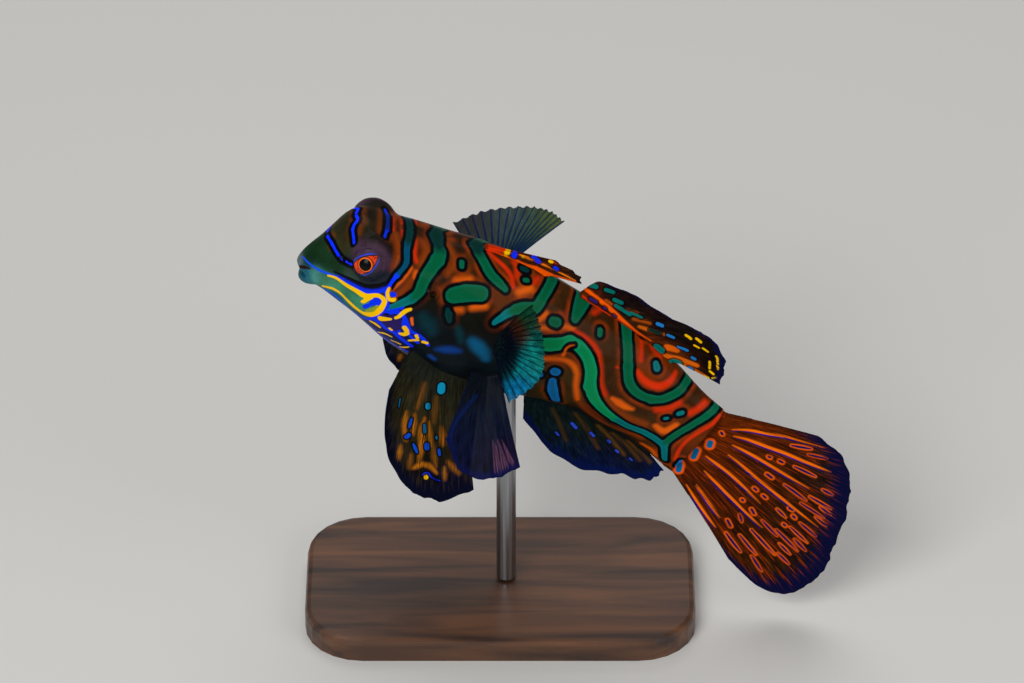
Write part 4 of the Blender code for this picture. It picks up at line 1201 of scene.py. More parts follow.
def between(grid, row, column):
    """A point of the grid at a row and column that need not be whole."""
    row = np.clip(row, 0, grid.shape[0] - 1.001)
    column = np.clip(column, 0, grid.shape[1] - 1.001)
    i = np.floor(row).astype(int)
    k = np.floor(column).astype(int)
    a = (row - i)[..., None]
    b = (column - k)[..., None]
    near = grid[i, k] * (1 - b) + grid[i, k + 1] * b
    far = grid[i + 1, k] * (1 - b) + grid[i + 1, k + 1] * b
    return near * (1 - a) + far * a


def ray_paths(count, per_gap, rows, girth, forks):
    """Each ray and branch as rows, columns and radii; forks are the places where all rays split."""
    paths = []
    starts = (-FOOT_ROWS / rows, *forks)
    ends = (*forks, 1.0)
    for ray in range(count):
        for level, (start, end) in enumerate(zip(starts, ends)):
            for branch in range(2 ** level):
                out = np.linspace(start, end, max(LEAST_POINTS, round((end - start) * rows)))
                column = np.full(len(out), float(ray * per_gap))
                for k in range(level):
                    way = 1 if branch >> k & 1 else -1
                    opened = ((out - forks[k]) / (1 - forks[k])).clip(0) ** FORK_CURVE
                    column = column + way * per_gap * FORK_SPREAD[k] * opened
                radii = girth * BRANCH_GIRTH ** level * (1 - RAY_TAPER * out.clip(0)) ** TAPER_CURVE
                row = FOOT_ROWS - 1 + out * (rows - 1)
                paths.append((row, column.clip(0, (count - 1) * per_gap), radii))
    return paths


def fin_tree():
    """Geometry Nodes that turn a fin's loose ray lines into round rays as thick as their girth."""
    tree = bpy.data.node_groups.new("fin rays", "GeometryNodeTree")
    tree.interface.new_socket("Geometry", in_out="INPUT", socket_type="NodeSocketGeometry")
    sides = tree.interface.new_socket("Ray sides", in_out="INPUT", socket_type="NodeSocketInt")
    finish = tree.interface.new_socket("Finish", in_out="INPUT", socket_type="NodeSocketMaterial")
    tree.interface.new_socket("Geometry", in_out="OUTPUT", socket_type="NodeSocketGeometry")
    given = node(tree, "NodeGroupInput")
    is_ray = node(tree, "GeometryNodeInputNamedAttribute", {"data_type": "FLOAT"}, {"Name": "ray"})
    girth = node(tree, "GeometryNodeInputNamedAttribute", {"data_type": "FLOAT"}, {"Name": "girth"})
    parts = node(tree, "GeometryNodeSeparateGeometry", {"domain": "POINT"},
                 {"Geometry": given.outputs["Geometry"], "Selection": is_ray.outputs[0]})
    lines = node(tree, "GeometryNodeMeshToCurve", None, {"Mesh": parts.outputs["Selection"]})
    profile = node(tree, "GeometryNodeCurvePrimitiveCircle", None,
                   {"Resolution": given.outputs["Ray sides"], "Radius": 1.0})
    tubes = node(tree, "GeometryNodeCurveToMesh", None, {
        "Curve": lines.outputs[0], "Profile Curve": profile.outputs[0],
        "Scale": girth.outputs[0], "Fill Caps": True,
    })
    smooth_rays = node(tree, "GeometryNodeSetShadeSmooth", None, {"Geometry": tubes.outputs[0]})
    both = node(tree, "GeometryNodeJoinGeometry")
    tree.links.new(smooth_rays.outputs[0], both.inputs[0])
    tree.links.new(parts.outputs["Inverted"], both.inputs[0])
    real = node(tree, "GeometryNodeRealizeInstances", None, {"Geometry": both.outputs[0]})
    painted = node(tree, "GeometryNodeSetMaterial", None,
                   {"Geometry": real.outputs[0], "Material": given.outputs["Finish"]})
    node(tree, "NodeGroupOutput", None, {0: painted.outputs[0]})
    return tree, sides.identifier, finish.identifier


fin_rays_tree, ray_sides_input, finish_input = fin_tree()


def fin_piece(name, grid, along, length, paths, paint, finish):
    """One fin from its middle surface, its ray paths and its paint."""
    rows, columns, _ = grid.shape
    normal = normals_of(grid)
    out = np.maximum(along, 0)
    swell = np.clip(1 - out / FOOT_REACH, 0, 1) ** 1.5
    half = MEMBRANE_HALF * (1 - MARGIN_THINNER * out ** 3) + (FOOT_HALF - MEMBRANE_HALF) * swell
    half = half[:, None, None]
    index = np.arange(rows * columns).reshape(rows, columns)
    corners = (index[:-1, :-1], index[:-1, 1:], index[1:, 1:], index[1:, :-1])
    a, b, c, d = (corner.ravel() for corner in corners)
    front = np.stack((a, b, c, d), -1)
    back = np.stack((d, c, b, a), -1) + rows * columns
    rim = np.concatenate((index[0, :], index[1:, -1], index[-1, -2::-1], index[-2:0:-1, 0]))
    after = np.roll(rim, -1)
    side = np.stack((after, rim, rim + rows * columns, after + rows * columns), -1)
    faces = np.concatenate((front, back, side)).tolist()
    lines = [between(grid, row, column) for row, column, _ in paths]
    sizes = [len(line) for line in lines]
    first = 2 * rows * columns
    edges = []
    for size in sizes:
        edges += [(first + i, first + i + 1) for i in range(size - 1)]
        first += size
    ray_points = np.concatenate(lines)
    sheets = [(grid + way * normal * half).reshape(-1, 3) for way in (1, -1)]
    points = np.concatenate((*sheets, ray_points))
    mesh = bpy.data.meshes.new(name)
    mesh.from_pydata(points.tolist(), edges, faces)
    mesh.shade_smooth()
    where = np.concatenate((grid.reshape(-1, 3), ray_points))
    flat = rows * columns
    outs = np.repeat(along, columns)
    ray_row = np.concatenate([row for row, _, _ in paths])
    ray_column = np.concatenate([column for _, column, _ in paths])
    ray_out = np.interp(ray_row, np.arange(rows), along)
    reach = np.interp(ray_column, np.arange(columns), length)
    fields = {
        "along": np.concatenate((outs, ray_out)),
        "across": np.concatenate((np.tile(np.arange(columns), rows), ray_column)),
        "margin": np.concatenate(((1 - outs) * np.tile(length, rows), (1 - ray_out) * reach)),
        "ray": np.concatenate((np.zeros(flat), np.ones(len(ray_points)))),
        "girth": np.concatenate((np.zeros(flat), np.concatenate([radii for _, _, radii in paths]))),
        **paint.at(where),
    }
    for field, values in fields.items():
        store(mesh, field, np.concatenate((values[:flat], values)))
    mesh.transform(Matrix.Scale(METRES, 4))
    fin = bpy.data.objects.new(name, mesh)
    scene.collection.objects.link(fin)
    girths = np.concatenate((fields["girth"][:flat], fields["girth"]))
    mesh.attributes["girth"].data.foreach_set("value", METRES * girths.astype(np.float32))
    modifier = fin.modifiers.new("rays", "NODES")
    modifier.node_group = fin_rays_tree
    modifier[ray_sides_input] = RAY_SIDES
    modifier[finish_input] = finish
    return outward(settled(fin))


# Paint of the fins: as on the body, each mark has its colour, how soft its edge is, its width in
# mm and its pixels. Warm marks lie under the cool ones, and both lie on the ground's colours, each
# of which has its reach in mm and the pixel where it is strongest.
NAVY = "060C34"
FLAME = "FA5A04"
RING_BLACK = "050508"


class FinPaint:
    """The layers of a fin's paint, cast on its grid and given at any points near it."""

    def __init__(self, canvas, grid, evening, warm, cool, ground):
        self.warm = [self.laid(canvas, grid, evening, *mark) for mark in warm]
        self.cool = [self.laid(canvas, grid, evening, *mark) for mark in cool]
        self.ground = [(linear(colour), reach, grid[canvas.under(pixel)]) for colour, reach, pixel in ground]

    @staticmethod
    def laid(canvas, grid, evening, colour, soft, widths, line):
        """One mark, laid on the grid."""
        rows, columns, radii = canvas.cast(line, widths)
        rows = evened(rows, evening)
        columns = evened(columns, evening)
        return colour, between(grid, rows, columns), radii, soft

    def at(self, points):
        """The paint's layers at any points."""
        base = np.zeros((len(points), 3))
        weight = np.full(len(points), 1e-9)
        for colour, reach, centre in self.ground:
            share = fading(points, centre, reach)
            base += share[:, None] * colour
            weight += share
        fields = {"ground": base / weight[:, None]}
        for name, marks in (("warm", self.warm), ("cool", self.cool)):
            fields[name], fields[name + "_tint"] = layer(points, marks)
        return fields


def fin_material(name, rays, edge, hair, ring, clear=0.0, whole=0.85):
    """Thin wet fin skin: low gloss that breaks up along the rays, and see-through where it is clear.

    rays, edge and hair are the colour and strength or width of the rays, the dark margin and the
    hairlines between rays; ring is how black the rings round the blue marks are, and whole is how
    little the warm marks break up.
    """
    material, tree = bare_material(name)
    ray_colour, ray_share = rays
    edge_colour, edge_width = edge
    hair_colour, hair_share = hair
    fields = {
        field: node(tree, "ShaderNodeAttribute", {"attribute_name": field}).outputs
        for field in ("across", "along", "ray", "margin", "ground", "warm", "warm_tint", "cool", "cool_tint")
    }
    ray = fields["ray"]["Fac"]
    along = fields["along"]["Fac"]
    cool = fields["cool"]["Fac"]
    # streaks run out along the rays, and are a few times longer than wide
    place = node(tree, "ShaderNodeCombineXYZ", None, {"X": fields["across"]["Fac"], "Y": along}).outputs[0]
    long_way, fine_way, joint_way = (
        node(tree, "ShaderNodeMapping", None, {"Vector": place, "Scale": scale}).outputs[0]
        for scale in ((0.3, 7.0, 1.0), (1.1, 5.0, 1.0), (0.02, 60.0, 1.0))
    )
    streak = node(tree, "ShaderNodeTexNoise", None,
                  {"Vector": long_way, "Scale": 1.0, "Detail": 3.0}).outputs[0]
    hairs = node(tree, "ShaderNodeTexNoise", None,
                 {"Vector": fine_way, "Scale": 1.0, "Detail": 4.0, "Roughness": 0.6}).outputs[0]
    joint = node(tree, "ShaderNodeTexWave", {"bands_direction": "Y"},
                 {"Vector": joint_way, "Scale": 0.3, "Distortion": 0.4}).outputs[1]
    base = coated(
        tree, fields["ground"]["Color"],
        ((0.5, 0.5, 0.52, 1), "MULTIPLY", (streak, 0.35, 0.7, 0.0, 1.0)),
        ((1.7, 1.6, 1.5, 1), "MULTIPLY", (streak, 0.5, 0.3, 0.0, 0.5)),
        (colour4(hair_colour), "MIX", (hairs, 0.52, 0.66, 0.0, hair_share)),
        ((0.4, 0.4, 0.45, 1), "MULTIPLY", (hairs, 0.46, 0.34, 0.0, hair_share)),
        (fields["warm_tint"]["Color"], "MIX", (fields["warm"]["Fac"], 1.0, -1.0, 0.0, 1.0),
         (hairs, 0.38, 0.55, whole, 1.0)),
        (colour4(RING_BLACK), "MIX", (cool, 4.0, 2.4, 0.0, ring)),
        (fields["cool_tint"]["Color"], "MIX", (cool, 1.0, -1.0, 0.0, 1.0)),
    )
    if edge_width:
        hair_off = node(tree, "ShaderNodeMath", {"operation": "SUBTRACT"}, {0: hairs, 1: 0.5}).outputs[0]
        streak_off = node(tree, "ShaderNodeMath", {"operation": "SUBTRACT"}, {0: streak, 1: 0.5}).outputs[0]
        off = node(tree, "ShaderNodeMath", {"operation": "MULTIPLY"},
                   {0: hair_off, 1: 2.6 * edge_width}).outputs[0]
        off = node(tree, "ShaderNodeMath", {"operation": "ADD"}, {0: off, 1: streak_off}).outputs[0]
        margin = node(tree, "ShaderNodeMath", {"operation": "ADD"},
                      {0: fields["margin"]["Fac"], 1: off}).outputs[0]
        base = coated(tree, base, (colour4(edge_colour), "MIX",
                                   (margin, edge_width * 1.3, edge_width * 0.5, 0.0, 0.95)))
    base = coated(tree, base,
                  (colour4(ray_colour), "MIX", ray, (joint, 0.2, 0.6, ray_share * 0.6, ray_share)))
    foot = node(tree, "ShaderNodeMapRange", {"interpolation_type": "SMOOTHSTEP"},
                {0: along, 1: 0.12, 2: 0.02}).outputs[0]
    solid = node(tree, "ShaderNodeMath", {"operation": "MAXIMUM"}, {0: ray, 1: foot}).outputs[0]
    alpha = node(tree, "ShaderNodeMapRange", {"interpolation_type": "SMOOTHSTEP"},
                 {0: solid, 3: 1.0 - clear}).outputs[0]
    bump = node(tree, "ShaderNodeBump", None, {"Strength": 0.3, "Distance": 0.00005, "Height": streak})
    shader = node(tree, "ShaderNodeBsdfPrincipled", None, {
        "Base Color": base, "Roughness": 0.5, "IOR": 1.38, "Specular IOR Level": 0.01,
        "Coat Weight": 0.02, "Coat Roughness": 0.2, "Alpha": alpha, "Normal": bump.outputs[0],
    })
    node(tree, "ShaderNodeOutputMaterial", None, {"Surface": shader.outputs[0]})
    return material


def placed_fin(fin, solid):
    """Puts a finished fin in its solid's place."""
    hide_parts(solid)
    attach(fin, "root")


def middle_fin(solid, rays, paints, finish, count, per_gap, rows, scallop, wave, forks, girth,
               evening=EVENING):
    """A fin of the back, belly or tail.

    It has count rays, with per_gap columns of its grid between two of them and rows out to its
    margin. scallop is how deep the margin dips between rays, as a share of their length, and wave
    how far the fin waves in mm; forks are where the rays split, and girth is their radius in mm.
    """
    grid, along, length = fin_grid(rays, count, per_gap, rows, scallop, wave)
    paint = FinPaint(Canvas(grid), grid, evening, *paints)
    paths = ray_paths(count, per_gap, rows, girth, forks)
    placed_fin(fin_piece(solid + "_skin", grid, along, length, paths, paint, finish), solid)


# First back fin: four slender spines, folded back along the body. Its key rays give their place
# across the fin, then station, angle, lean, length and bend, as do those of the next two fins.
FIRST_DORSAL = (
    (0.0, 16.0, 10, 0, 7.2, 0.0),
    (0.5, 19.5, 8, 0, 6.2, 0.0),
    (1.0, 22.9, 7, 0, 3.5, 0.0),
)
FIRST_DORSAL_WARM = (
    (RED, 0.1, 0.3, ((488, 245.7), (496, 246.2), (504, 247.8))),
    (RED, 0.1, (0.2, 0.3, 0.2), ((486, 247.5), (500, 253), (515, 262))),
    (FLAME, 0.06, (0.2, 0.3, 0.24, 0.12),
     ((500, 251.8), (520.4, 259.4), (543.3, 270), (560.5, 279.4), (575, 287))),
    ("F07A14", 0.06, (0.14, 0.26, 0.2, 0.1), ((510, 251.5), (530, 258.5), (552, 268.5), (575.5, 280.5))),
    (FLAME, 0.06, (0.14, 0.22, 0.1), ((497, 253), (520, 262.4), (545, 274))),
    (YELLOW, 0.06, 0.3, ((506, 251), (508.5, 251.5))),
    (YELLOW, 0.06, 0.26, ((521.7, 255.7), (523.7, 256.4))),
    (YELLOW, 0.06, 0.3, ((549.8, 261), (551.8, 261.8))),
    (RED, 0.1, 0.3, ((555.5, 262), (558, 263))),
)
FIRST_DORSAL_COOL = (
    (STRIPE_BLUE, 0.05, 0.5, ((513.6, 253.4), (516, 254.2))),
    (STRIPE_BLUE, 0.05, 0.4, ((533, 256.3), (535, 257))),
    (STRIPE_BLUE, 0.05, 0.45, ((536.6, 260), (539, 261.4))),
    (STRIPE_BLUE, 0.05, 0.45, ((555, 268), (557, 269.4))),
)
FIRST_DORSAL_GROUND = (
    ("7A280A", 1.6, (495, 250)), ("4A1E0A", 2.0, (515, 258)), ("14100C", 1.8, (530, 256)),
    ("3A1A0A", 2.2, (540, 268)), ("120E0C", 1.8, (550, 262)), ("2E1A0C", 2.0, (560, 278)),
    ("1A1A14", 2.0, (578, 276)),
)
first_finish = fin_material("fin skin, orange and wet", rays=("5A2008", 0.4), edge=("0E100E", 0.4),
                            hair=("A84208", 0.4), ring=0.8)
middle_fin("dorsal_fin_first", lambda across: median_rays(FIRST_DORSAL, 1, across),
           (FIRST_DORSAL_WARM, FIRST_DORSAL_COOL, FIRST_DORSAL_GROUND), first_finish,
           count=4, per_gap=16, rows=60, scallop=0.04, wave=0.1, forks=(), girth=0.16)

# Second back fin: eight rays, bent over to the left, orange and teal with blue spots and yellow
# dashes near its margin
SECOND_DORSAL = (
    (0.0, 26.8, 74, 0, 3.8, -1.6),
    (0.3, 30.0, 41, 12, 7.5, -2.3),
    (0.6, 33.4, 40, 28, 9.5, -1.8),
    (1.0, 37.8, 23, 42, 5.4, -0.4),
)
DASH_BLUE = "1E78C0"
AMBER = "D0600E"
RUST_ORANGE = "B04C0A"
SECOND_DORSAL_WARM = (
    (FLAME, 0.1, (0.3, 0.4, 0.4, 0.2),
     ((584, 287), (595.5, 296), (609.5, 306.2), (623.6, 318), (638, 329), (651.6, 338))),
    (RED, 0.1, (0.2, 0.28, 0.2), ((582.8, 294), (601.9, 307.8), (619.7, 320.5), (638.9, 332.5))),
    (RUST_ORANGE, 0.2, 0.26, ((606, 300), (620, 308))),
    (RUST_ORANGE, 0.2, 0.3, ((627, 310), (637, 313))),
    (RUST_ORANGE, 0.2, 0.3, ((634, 318), (650, 323))),
    (AMBER, 0.15, (0.3, 0.5, 0.3), ((640, 325), (652, 330), (664, 334))),
    ("E0640E", 0.15, (0.4, 0.8, 0.5), ((660, 351), (672, 356), (686, 361), (697, 365))),
    (AMBER, 0.15, (0.3, 0.7, 0.4), ((672, 369), (688, 375), (705, 380))),
    (ORANGE, 0.12, 0.8, ((668, 346.5), (676, 349.5))),
    (AMBER, 0.12, 0.5, ((683, 366), (692, 369.5))),
    (YELLOW, 0.05, 0.28, ((686, 335), (688.6, 336.8), (691, 338.5))),
    (YELLOW, 0.05, 0.26, ((696.5, 338.5), (698.8, 340), (701, 342))),
    (YELLOW, 0.05, 0.24, ((694.5, 345), (696.9, 346.3), (699, 347.5))),
    (YELLOW, 0.05, 0.24, ((703, 348), (705.8, 349.5), (708, 351.5))),
    (YELLOW, 0.05, 0.24, ((716.3, 356), (717.5, 361.5))),
    (YELLOW, 0.05, 0.26, ((709.7, 361.5), (709.7, 368))),
    (YELLOW, 0.05, 0.24, ((718, 363.5), (718, 369))),
    (YELLOW, 0.05, 0.24, ((710, 371), (713.5, 374))),
    (YELLOW, 0.05, 0.26, ((702, 380.5), (708.5, 377.3))),
    (YELLOW, 0.05, 0.24, ((712.5, 378), (716.5, 377.5))),
)
SECOND_DORSAL_COOL = (
    (VIOLET, 0.05, 0.28, ((590.4, 296.6), (596.8, 300.4))),
    (VIOLET, 0.05, 0.26, ((604, 305.4), (606, 306.8))),
    (VIOLET, 0.05, 0.26, ((613.6, 312.5), (615.6, 314))),
    (SEA_GREEN, 0.06, 0.5, ((590, 283.5), (596, 286.5))),
    (SEA_GREEN, 0.06, 0.42, ((606, 289.6), (613, 292))),
    (SEA_GREEN, 0.06, 0.45, ((614.5, 299.5), (621.5, 302.5))),
    (SEA_GREEN, 0.06, 0.36, ((616, 305), (623, 309.5), (630, 314))),
    (SEA_GREEN, 0.06, 0.3, ((631, 312.5), (641.6, 317))),
    (DARK_TEAL, 0.06, 0.4, ((651, 329), (660, 333))),
    (DASH_BLUE, 0.05, 0.36, ((657.6, 323.6), (662.4, 325.6))),
    (DASH_BLUE, 0.05, 0.34, ((668, 334.8), (673.6, 337.2))),
    (DASH_BLUE, 0.05, 0.36, ((678.5, 346.4), (687.3, 350))),
    (DASH_BLUE, 0.05, 0.45, ((692.7, 357.5), (694.7, 358.5))),
    (DASH_BLUE, 0.05, 0.45, ((688.3, 371.2), (690.3, 372))),
    (SEA_GREEN, 0.06, 0.85, ((658, 344), (662, 347.6))),
    (SEA_GREEN, 0.06, 0.75, ((666.5, 362.8), (676.5, 368.6))),
)
SECOND_DORSAL_GROUND = (
    ("5A2408", 1.4, (592, 292)), ("3A1C0A", 1.6, (610, 308)), ("0A0A0E", 1.6, (612, 294)),
    ("0A0A0E", 1.8, (635, 305)), ("3A1E0A", 1.6, (636, 322)), ("0C0A0C", 1.8, (662, 322)),
    ("5A2408", 1.6, (652, 342)), ("0E0C0A", 1.8, (680, 332)), ("6A300C", 1.6, (672, 354)),
    ("120C0A", 1.8, (700, 342)), ("0C0808", 2.2, (712, 358)), ("140C08", 1.8, (708, 374)),
    ("5A2808", 1.4, (690, 368)),
)
second_finish = fin_material("fin skin, orange and teal, wet", rays=("2A1408", 0.35), edge=(NAVY, 0.8),
                             hair=("4A1E08", 0.3), ring=0.8)
middle_fin("dorsal_fin_second", lambda across: median_rays(SECOND_DORSAL, 1, across),
           (SECOND_DORSAL_WARM, SECOND_DORSAL_COOL, SECOND_DORSAL_GROUND), second_finish,
           count=8, per_gap=14, rows=76, scallop=0.02, wave=0.15, forks=(0.45,), girth=0.15)

# Belly fin: eight rays that slant back, navy and olive with a few blue dashes
ANAL = (
    (0.0, 27.3, 66, 0, 3.4, 0.0),
    (0.25, 30.6, 48, 0, 8.6, 0.0),
    (0.5, 34.5, 30, 0, 8.7, 0.0),
    (0.75, 38.5, 20, 0, 7.0, 0.0),
    (1.0, 43.0, 12, 0, 2.6, 0.0),
)
ANAL_BLUE = "2A4AD0"
ANAL_WARM = (
    ("4A3210", 0.3, 0.24, ((552, 408), (560, 424), (566, 440))),
    ("54360E", 0.3, 0.24, ((575, 412), (588, 430), (598, 448))),
    ("644012", 0.3, 0.26, ((598, 424), (612, 440), (624, 454))),
    ("54360E", 0.3, 0.24, ((612, 432), (628, 446), (640, 460))),
    ("644012", 0.3, 0.22, ((628, 440), (641, 452), (650, 462))),
)
ANAL_COOL = (
    (ANAL_BLUE, 0.05, 0.34, ((572, 423), (576, 427.5))),
    (ANAL_BLUE, 0.05, 0.3, ((590.4, 432.4), (593.6, 435.6))),
    (ANAL_BLUE, 0.05, 0.26, ((608, 440), (610, 442))),
    (ANAL_BLUE, 0.05, 0.26, ((616, 450), (618, 452))),
    (ANAL_BLUE, 0.05, 0.22, ((556, 432), (558.5, 435))),
    (ANAL_BLUE, 0.05, 0.22, ((630, 458), (632, 460))),
)
ANAL_GROUND = (
    ("0C2024", 2.5, (545, 415)), ("14201C", 2.5, (570, 420)), ("101810", 2.5, (600, 432)),
    ("1C1810", 2.0, (630, 448)), ("081830", 2.5, (555, 445)), ("061438", 2.5, (585, 460)),
    ("081238", 2.5, (615, 466)), ("0A1230", 2.0, (645, 470)),
)
anal_finish = fin_material("fin skin, navy and olive, wet", rays=("081028", 0.5), edge=("06144A", 1.2),
                           hair=("2A3A2A", 0.35), ring=0.5)
middle_fin("anal_fin", lambda across: median_rays(ANAL, -1, across),
           (ANAL_WARM, ANAL_COOL, ANAL_GROUND), anal_finish,
           count=8, per_gap=16, rows=80, scallop=0.03, wave=0.2, forks=(0.45,), girth=0.15)

# Tail fin: ten rays that split twice. Its paint is long orange streaks with a blue edge, orange
# dashes and small rings with a navy middle between and beyond them, and blue spots at its root.
# Its key rays give their height on the tail's stem, angle and length.
TAIL = (
    (0.0, 3.6, 28, 9.6),
    (0.12, 2.9, 23, 12.6),
    (0.35, 1.2, 13, 15.6),
    (0.55, -0.6, 1, 17.4),
    (0.75, -2.8, -11, 19.2),
    (0.88, -4.3, -19, 18.2),
    (0.95, -5.0, -22, 15.6),
    (1.0, -5.4, -24, 11.6),
)
TAIL_FOOT = 1.2                # mm that the fin starts inside the stem
TAIL_BOW = 0.8                 # mm that the rays bow to the left


def tail_rays(rows, across):
    """Rays of the tail fin, which fan out from the end of the tail stem."""
    height, angle, length = columns_of(rows, across)
    tail, left, back = heading(BODY_LENGTH)
    angle = np.radians(angle)[:, None]
    direction = tail * np.cos(angle) + back * np.sin(angle)
    root = axis_at(BODY_LENGTH) + tail * JOINT_GAP + back * height[:, None]
    foot = root - tail * TAIL_FOOT
    return foot, root, direction, length, left * TAIL_BOW + 0 * root


def beside(line, gap):
    """The same line moved down and left across the picture, by gap pixels."""
    return tuple((x - 0.6 * gap, y + 0.8 * gap) for x, y in line)


STREAK_BLUE = "1C0E8A"
CORE_GAP = 2.0                 # pixels from a streak to its core
CORE_NAVY = "0A1250"
STREAK_ORANGE = "FF7200"
DASH_ORANGES = ("E85C00", "D04E00")
RING_ORANGE = "E05600"
TAIL_EVENING = 40              # rounds that take the jitter out of the marks along the rays
TAIL_STREAKS = (
    ((732.8, 428.4), (748.2, 429.1), (762.3, 432.6), (773.5, 434.7), (784.7, 435.4), (797.3, 439.6),
     (824, 447.3)),
    ((734.2, 435.4), (748.2, 438.9), (762.3, 445.2), (783.3, 452.3), (804.3, 461.4), (818.4, 467),
     (831, 471.9)),
    ((732.8, 444.5), (741.2, 448.8), (756.6, 457.2), (770.7, 465.6), (784.7, 474), (798.7, 482.4),
     (808.6, 488)),
    ((728.6, 454.4), (741.2, 464.2), (755.2, 476.8), (776.3, 493.7), (790.3, 504.9), (804.3, 516.1),
     (818.4, 527.3)),
    ((706.1, 454.4), (714.5, 461.4), (727.2, 471.2), (739.8, 482.4), (751, 493.7), (760.8, 503.5)),
    ((704.7, 469.8), (711.7, 478.2), (725.8, 492.3), (739.8, 506.3), (751, 517.5), (762.3, 527.3)),
    ((696.3, 483.8), (703.3, 495), (713.1, 509.1), (720.2, 517.5)),
    ((686.5, 483.8), (697.7, 503.5), (706.1, 514.7), (715.9, 527.3)),
)
TAIL_DASHES = (
    ((794.5, 466.3), (805, 471), (815.5, 476.4)), ((784.7, 484.5), (796, 492.6), (806, 500.2)),
    ((810, 496.5), (820, 502.4), (831, 508.8)), ((822.6, 489.6), (832.4, 494.8)),
    ((820.6, 507.2), (830.6, 514.6)), ((800.9, 503), (812, 510), (823.6, 517.6)),
    ((815.8, 517), (826.2, 526)), ((800.1, 522.6), (815.6, 535.9)),
    ((790.6, 526.8), (799, 535), (807.4, 542.6)), ((776.3, 529.6), (787, 540), (797.4, 550.8)),
    ((751.3, 529.3), (763, 542), (774.9, 554.6)), ((794.6, 539), (805.6, 550.4)),
    ((779.4, 543.4), (790, 554)), ((778, 553), (788.6, 563.6)),
    ((739.8, 534.6), (748, 545), (756.2, 554.4)), ((762.3, 520.3), (777, 535.8)),
    ((725.8, 532.6), (733, 542.6), (740.6, 551.8)), ((751.6, 555.6), (757, 564), (761.6, 571)),
    ((791.7, 445.2), (811.4, 448.8)), ((808.6, 454.4), (826.8, 458.6)), ((777, 508.6), (785.6, 517.2)),
    ((739.6, 514.2), (742, 521.8)),
)
TAIL_RINGS = (
    ((768.9, 456.4), (770.2, 457)), ((779.8, 460.8), (782.4, 462)), ((767.2, 474), (771.8, 477.4)),
    ((754.4, 488), (756.4, 489.8)), ((763.4, 495.4), (765.8, 497.4)), ((742.2, 499.4), (743, 500.2)),
    ((751.6, 509), (754.2, 513.4)), ((727.6, 520), (730.6, 525.8)), ((789.6, 508), (792.4, 509.6)),
    ((793.2, 515.8), (794.8, 517.6)), ((783.8, 524), (785.2, 525.2)), ((721.8, 430.8), (722.8, 432.8)),
)
TAIL_SPOTS = (
    ((711, 440.5), (710, 444)), ((697, 448), (694, 455)), ((680.5, 461), (679, 468)),
)
TAIL_RUST = "5E2404"
TAIL_WARM = (
    *((STREAK_ORANGE, 0.1, (0.12, 0.34, 0.36, 0.26, 0.08), line) for line in TAIL_STREAKS),
    *((DASH_ORANGES[i % 2], 0.08, (0.44, 0.58, 0.56, 0.36), line) for i, line in enumerate(TAIL_DASHES)),
    *((RING_ORANGE, 0.08, 0.66, line) for line in TAIL_RINGS),
    *((FLAME, 0.12, 1.1, line) for line in TAIL_SPOTS),
)
TAIL_COOL = (
    *((STREAK_BLUE, 0.05, (0.04, 0.15, 0.13, 0.04), beside(line, CORE_GAP)) for line in TAIL_STREAKS),
    *((CORE_NAVY, 0.05, (0.17, 0.27, 0.25, 0.14), line) for line in TAIL_DASHES),
    *((CORE_NAVY, 0.05, 0.27, line) for line in TAIL_RINGS),
    *((SPOT_BLUE, 0.05, 0.6, line) for line in TAIL_SPOTS),
)
TAIL_GROUND = (
    (TAIL_RUST, 2.0, (710, 450)), (TAIL_RUST, 2.0, (745, 430)), ("4A1E06", 3.0, (760, 480)),
    ("481C06", 3.0, (720, 500)), ("321A08", 3.0, (790, 500)), ("321A06", 3.0, (760, 545)),
    ("1E1410", 3.0, (800, 545)), ("1E1612", 2.5, (830, 480)),
)
tail_finish = fin_material("tail skin, brown with flame streaks, wet", rays=("241008", 0.4), edge=(NAVY, 2.2),
                           hair=("C84402", 0.5), ring=0.0)
middle_fin("caudal_fin", lambda across: tail_rays(TAIL, across),
           (TAIL_WARM, TAIL_COOL, TAIL_GROUND), tail_finish,
           count=10, per_gap=16, rows=130, scallop=0.008, wave=0.3, forks=(0.28, 0.6), girth=0.22,
           evening=TAIL_EVENING)

# Pectoral fins: clear fans with sixteen dark unbranched rays. The fins in pairs have key rays with
# station, turn on the skin, sweep back, rise, length and the tip's bend back and up.
LEFT_PECTORAL = (
    (0.0, 20.2, 72, 28, 54, 8.2, 0.6, -0.4),
    (0.35, 20.4, 78, 34, 30, 7.7, 0.6, -0.2),
    (0.7, 20.6, 84, 28, 8, 7.3, 0.6, -0.2),
    (1.0, 20.6, 90, 8, -9, 6.8, 0.4, -0.3),
)
RIGHT_PECTORAL = (
    (0.0, 20.2, 72, 46, 14, 8.2, 0.8, 0.2),
    (0.35, 20.4, 78, 24, 17, 9.2, 0.6, 0.4),
    (0.7, 20.6, 84, -2, 15, 9.4, 0.2, 0.4),
    (1.0, 20.6, 90, -26, 13, 9.2, -0.2, 0.4),
)


def paired_rays(rows, side, across):
    """Rays of a fin on the flank: foot, root, direction, length and bend.

    Key rays give station, turn on the skin, sweep back, rise, length and the tip's bend.
    """
    station, turn, sweep, rise, length, back, up = columns_of(rows, across)
    sweep = np.radians(sweep)
    rise = np.radians(rise)
    level = np.cos(rise)
    direction = np.stack((level * np.sin(sweep), -side * level * np.cos(sweep), np.sin(rise)), -1)
    bend = np.stack((back, 0 * back, up), -1)
    foot = lifted(station, side * turn, FOOT_DEPTH)
    return foot, lifted(station, side * turn, JOINT_GAP), direction, length, bend


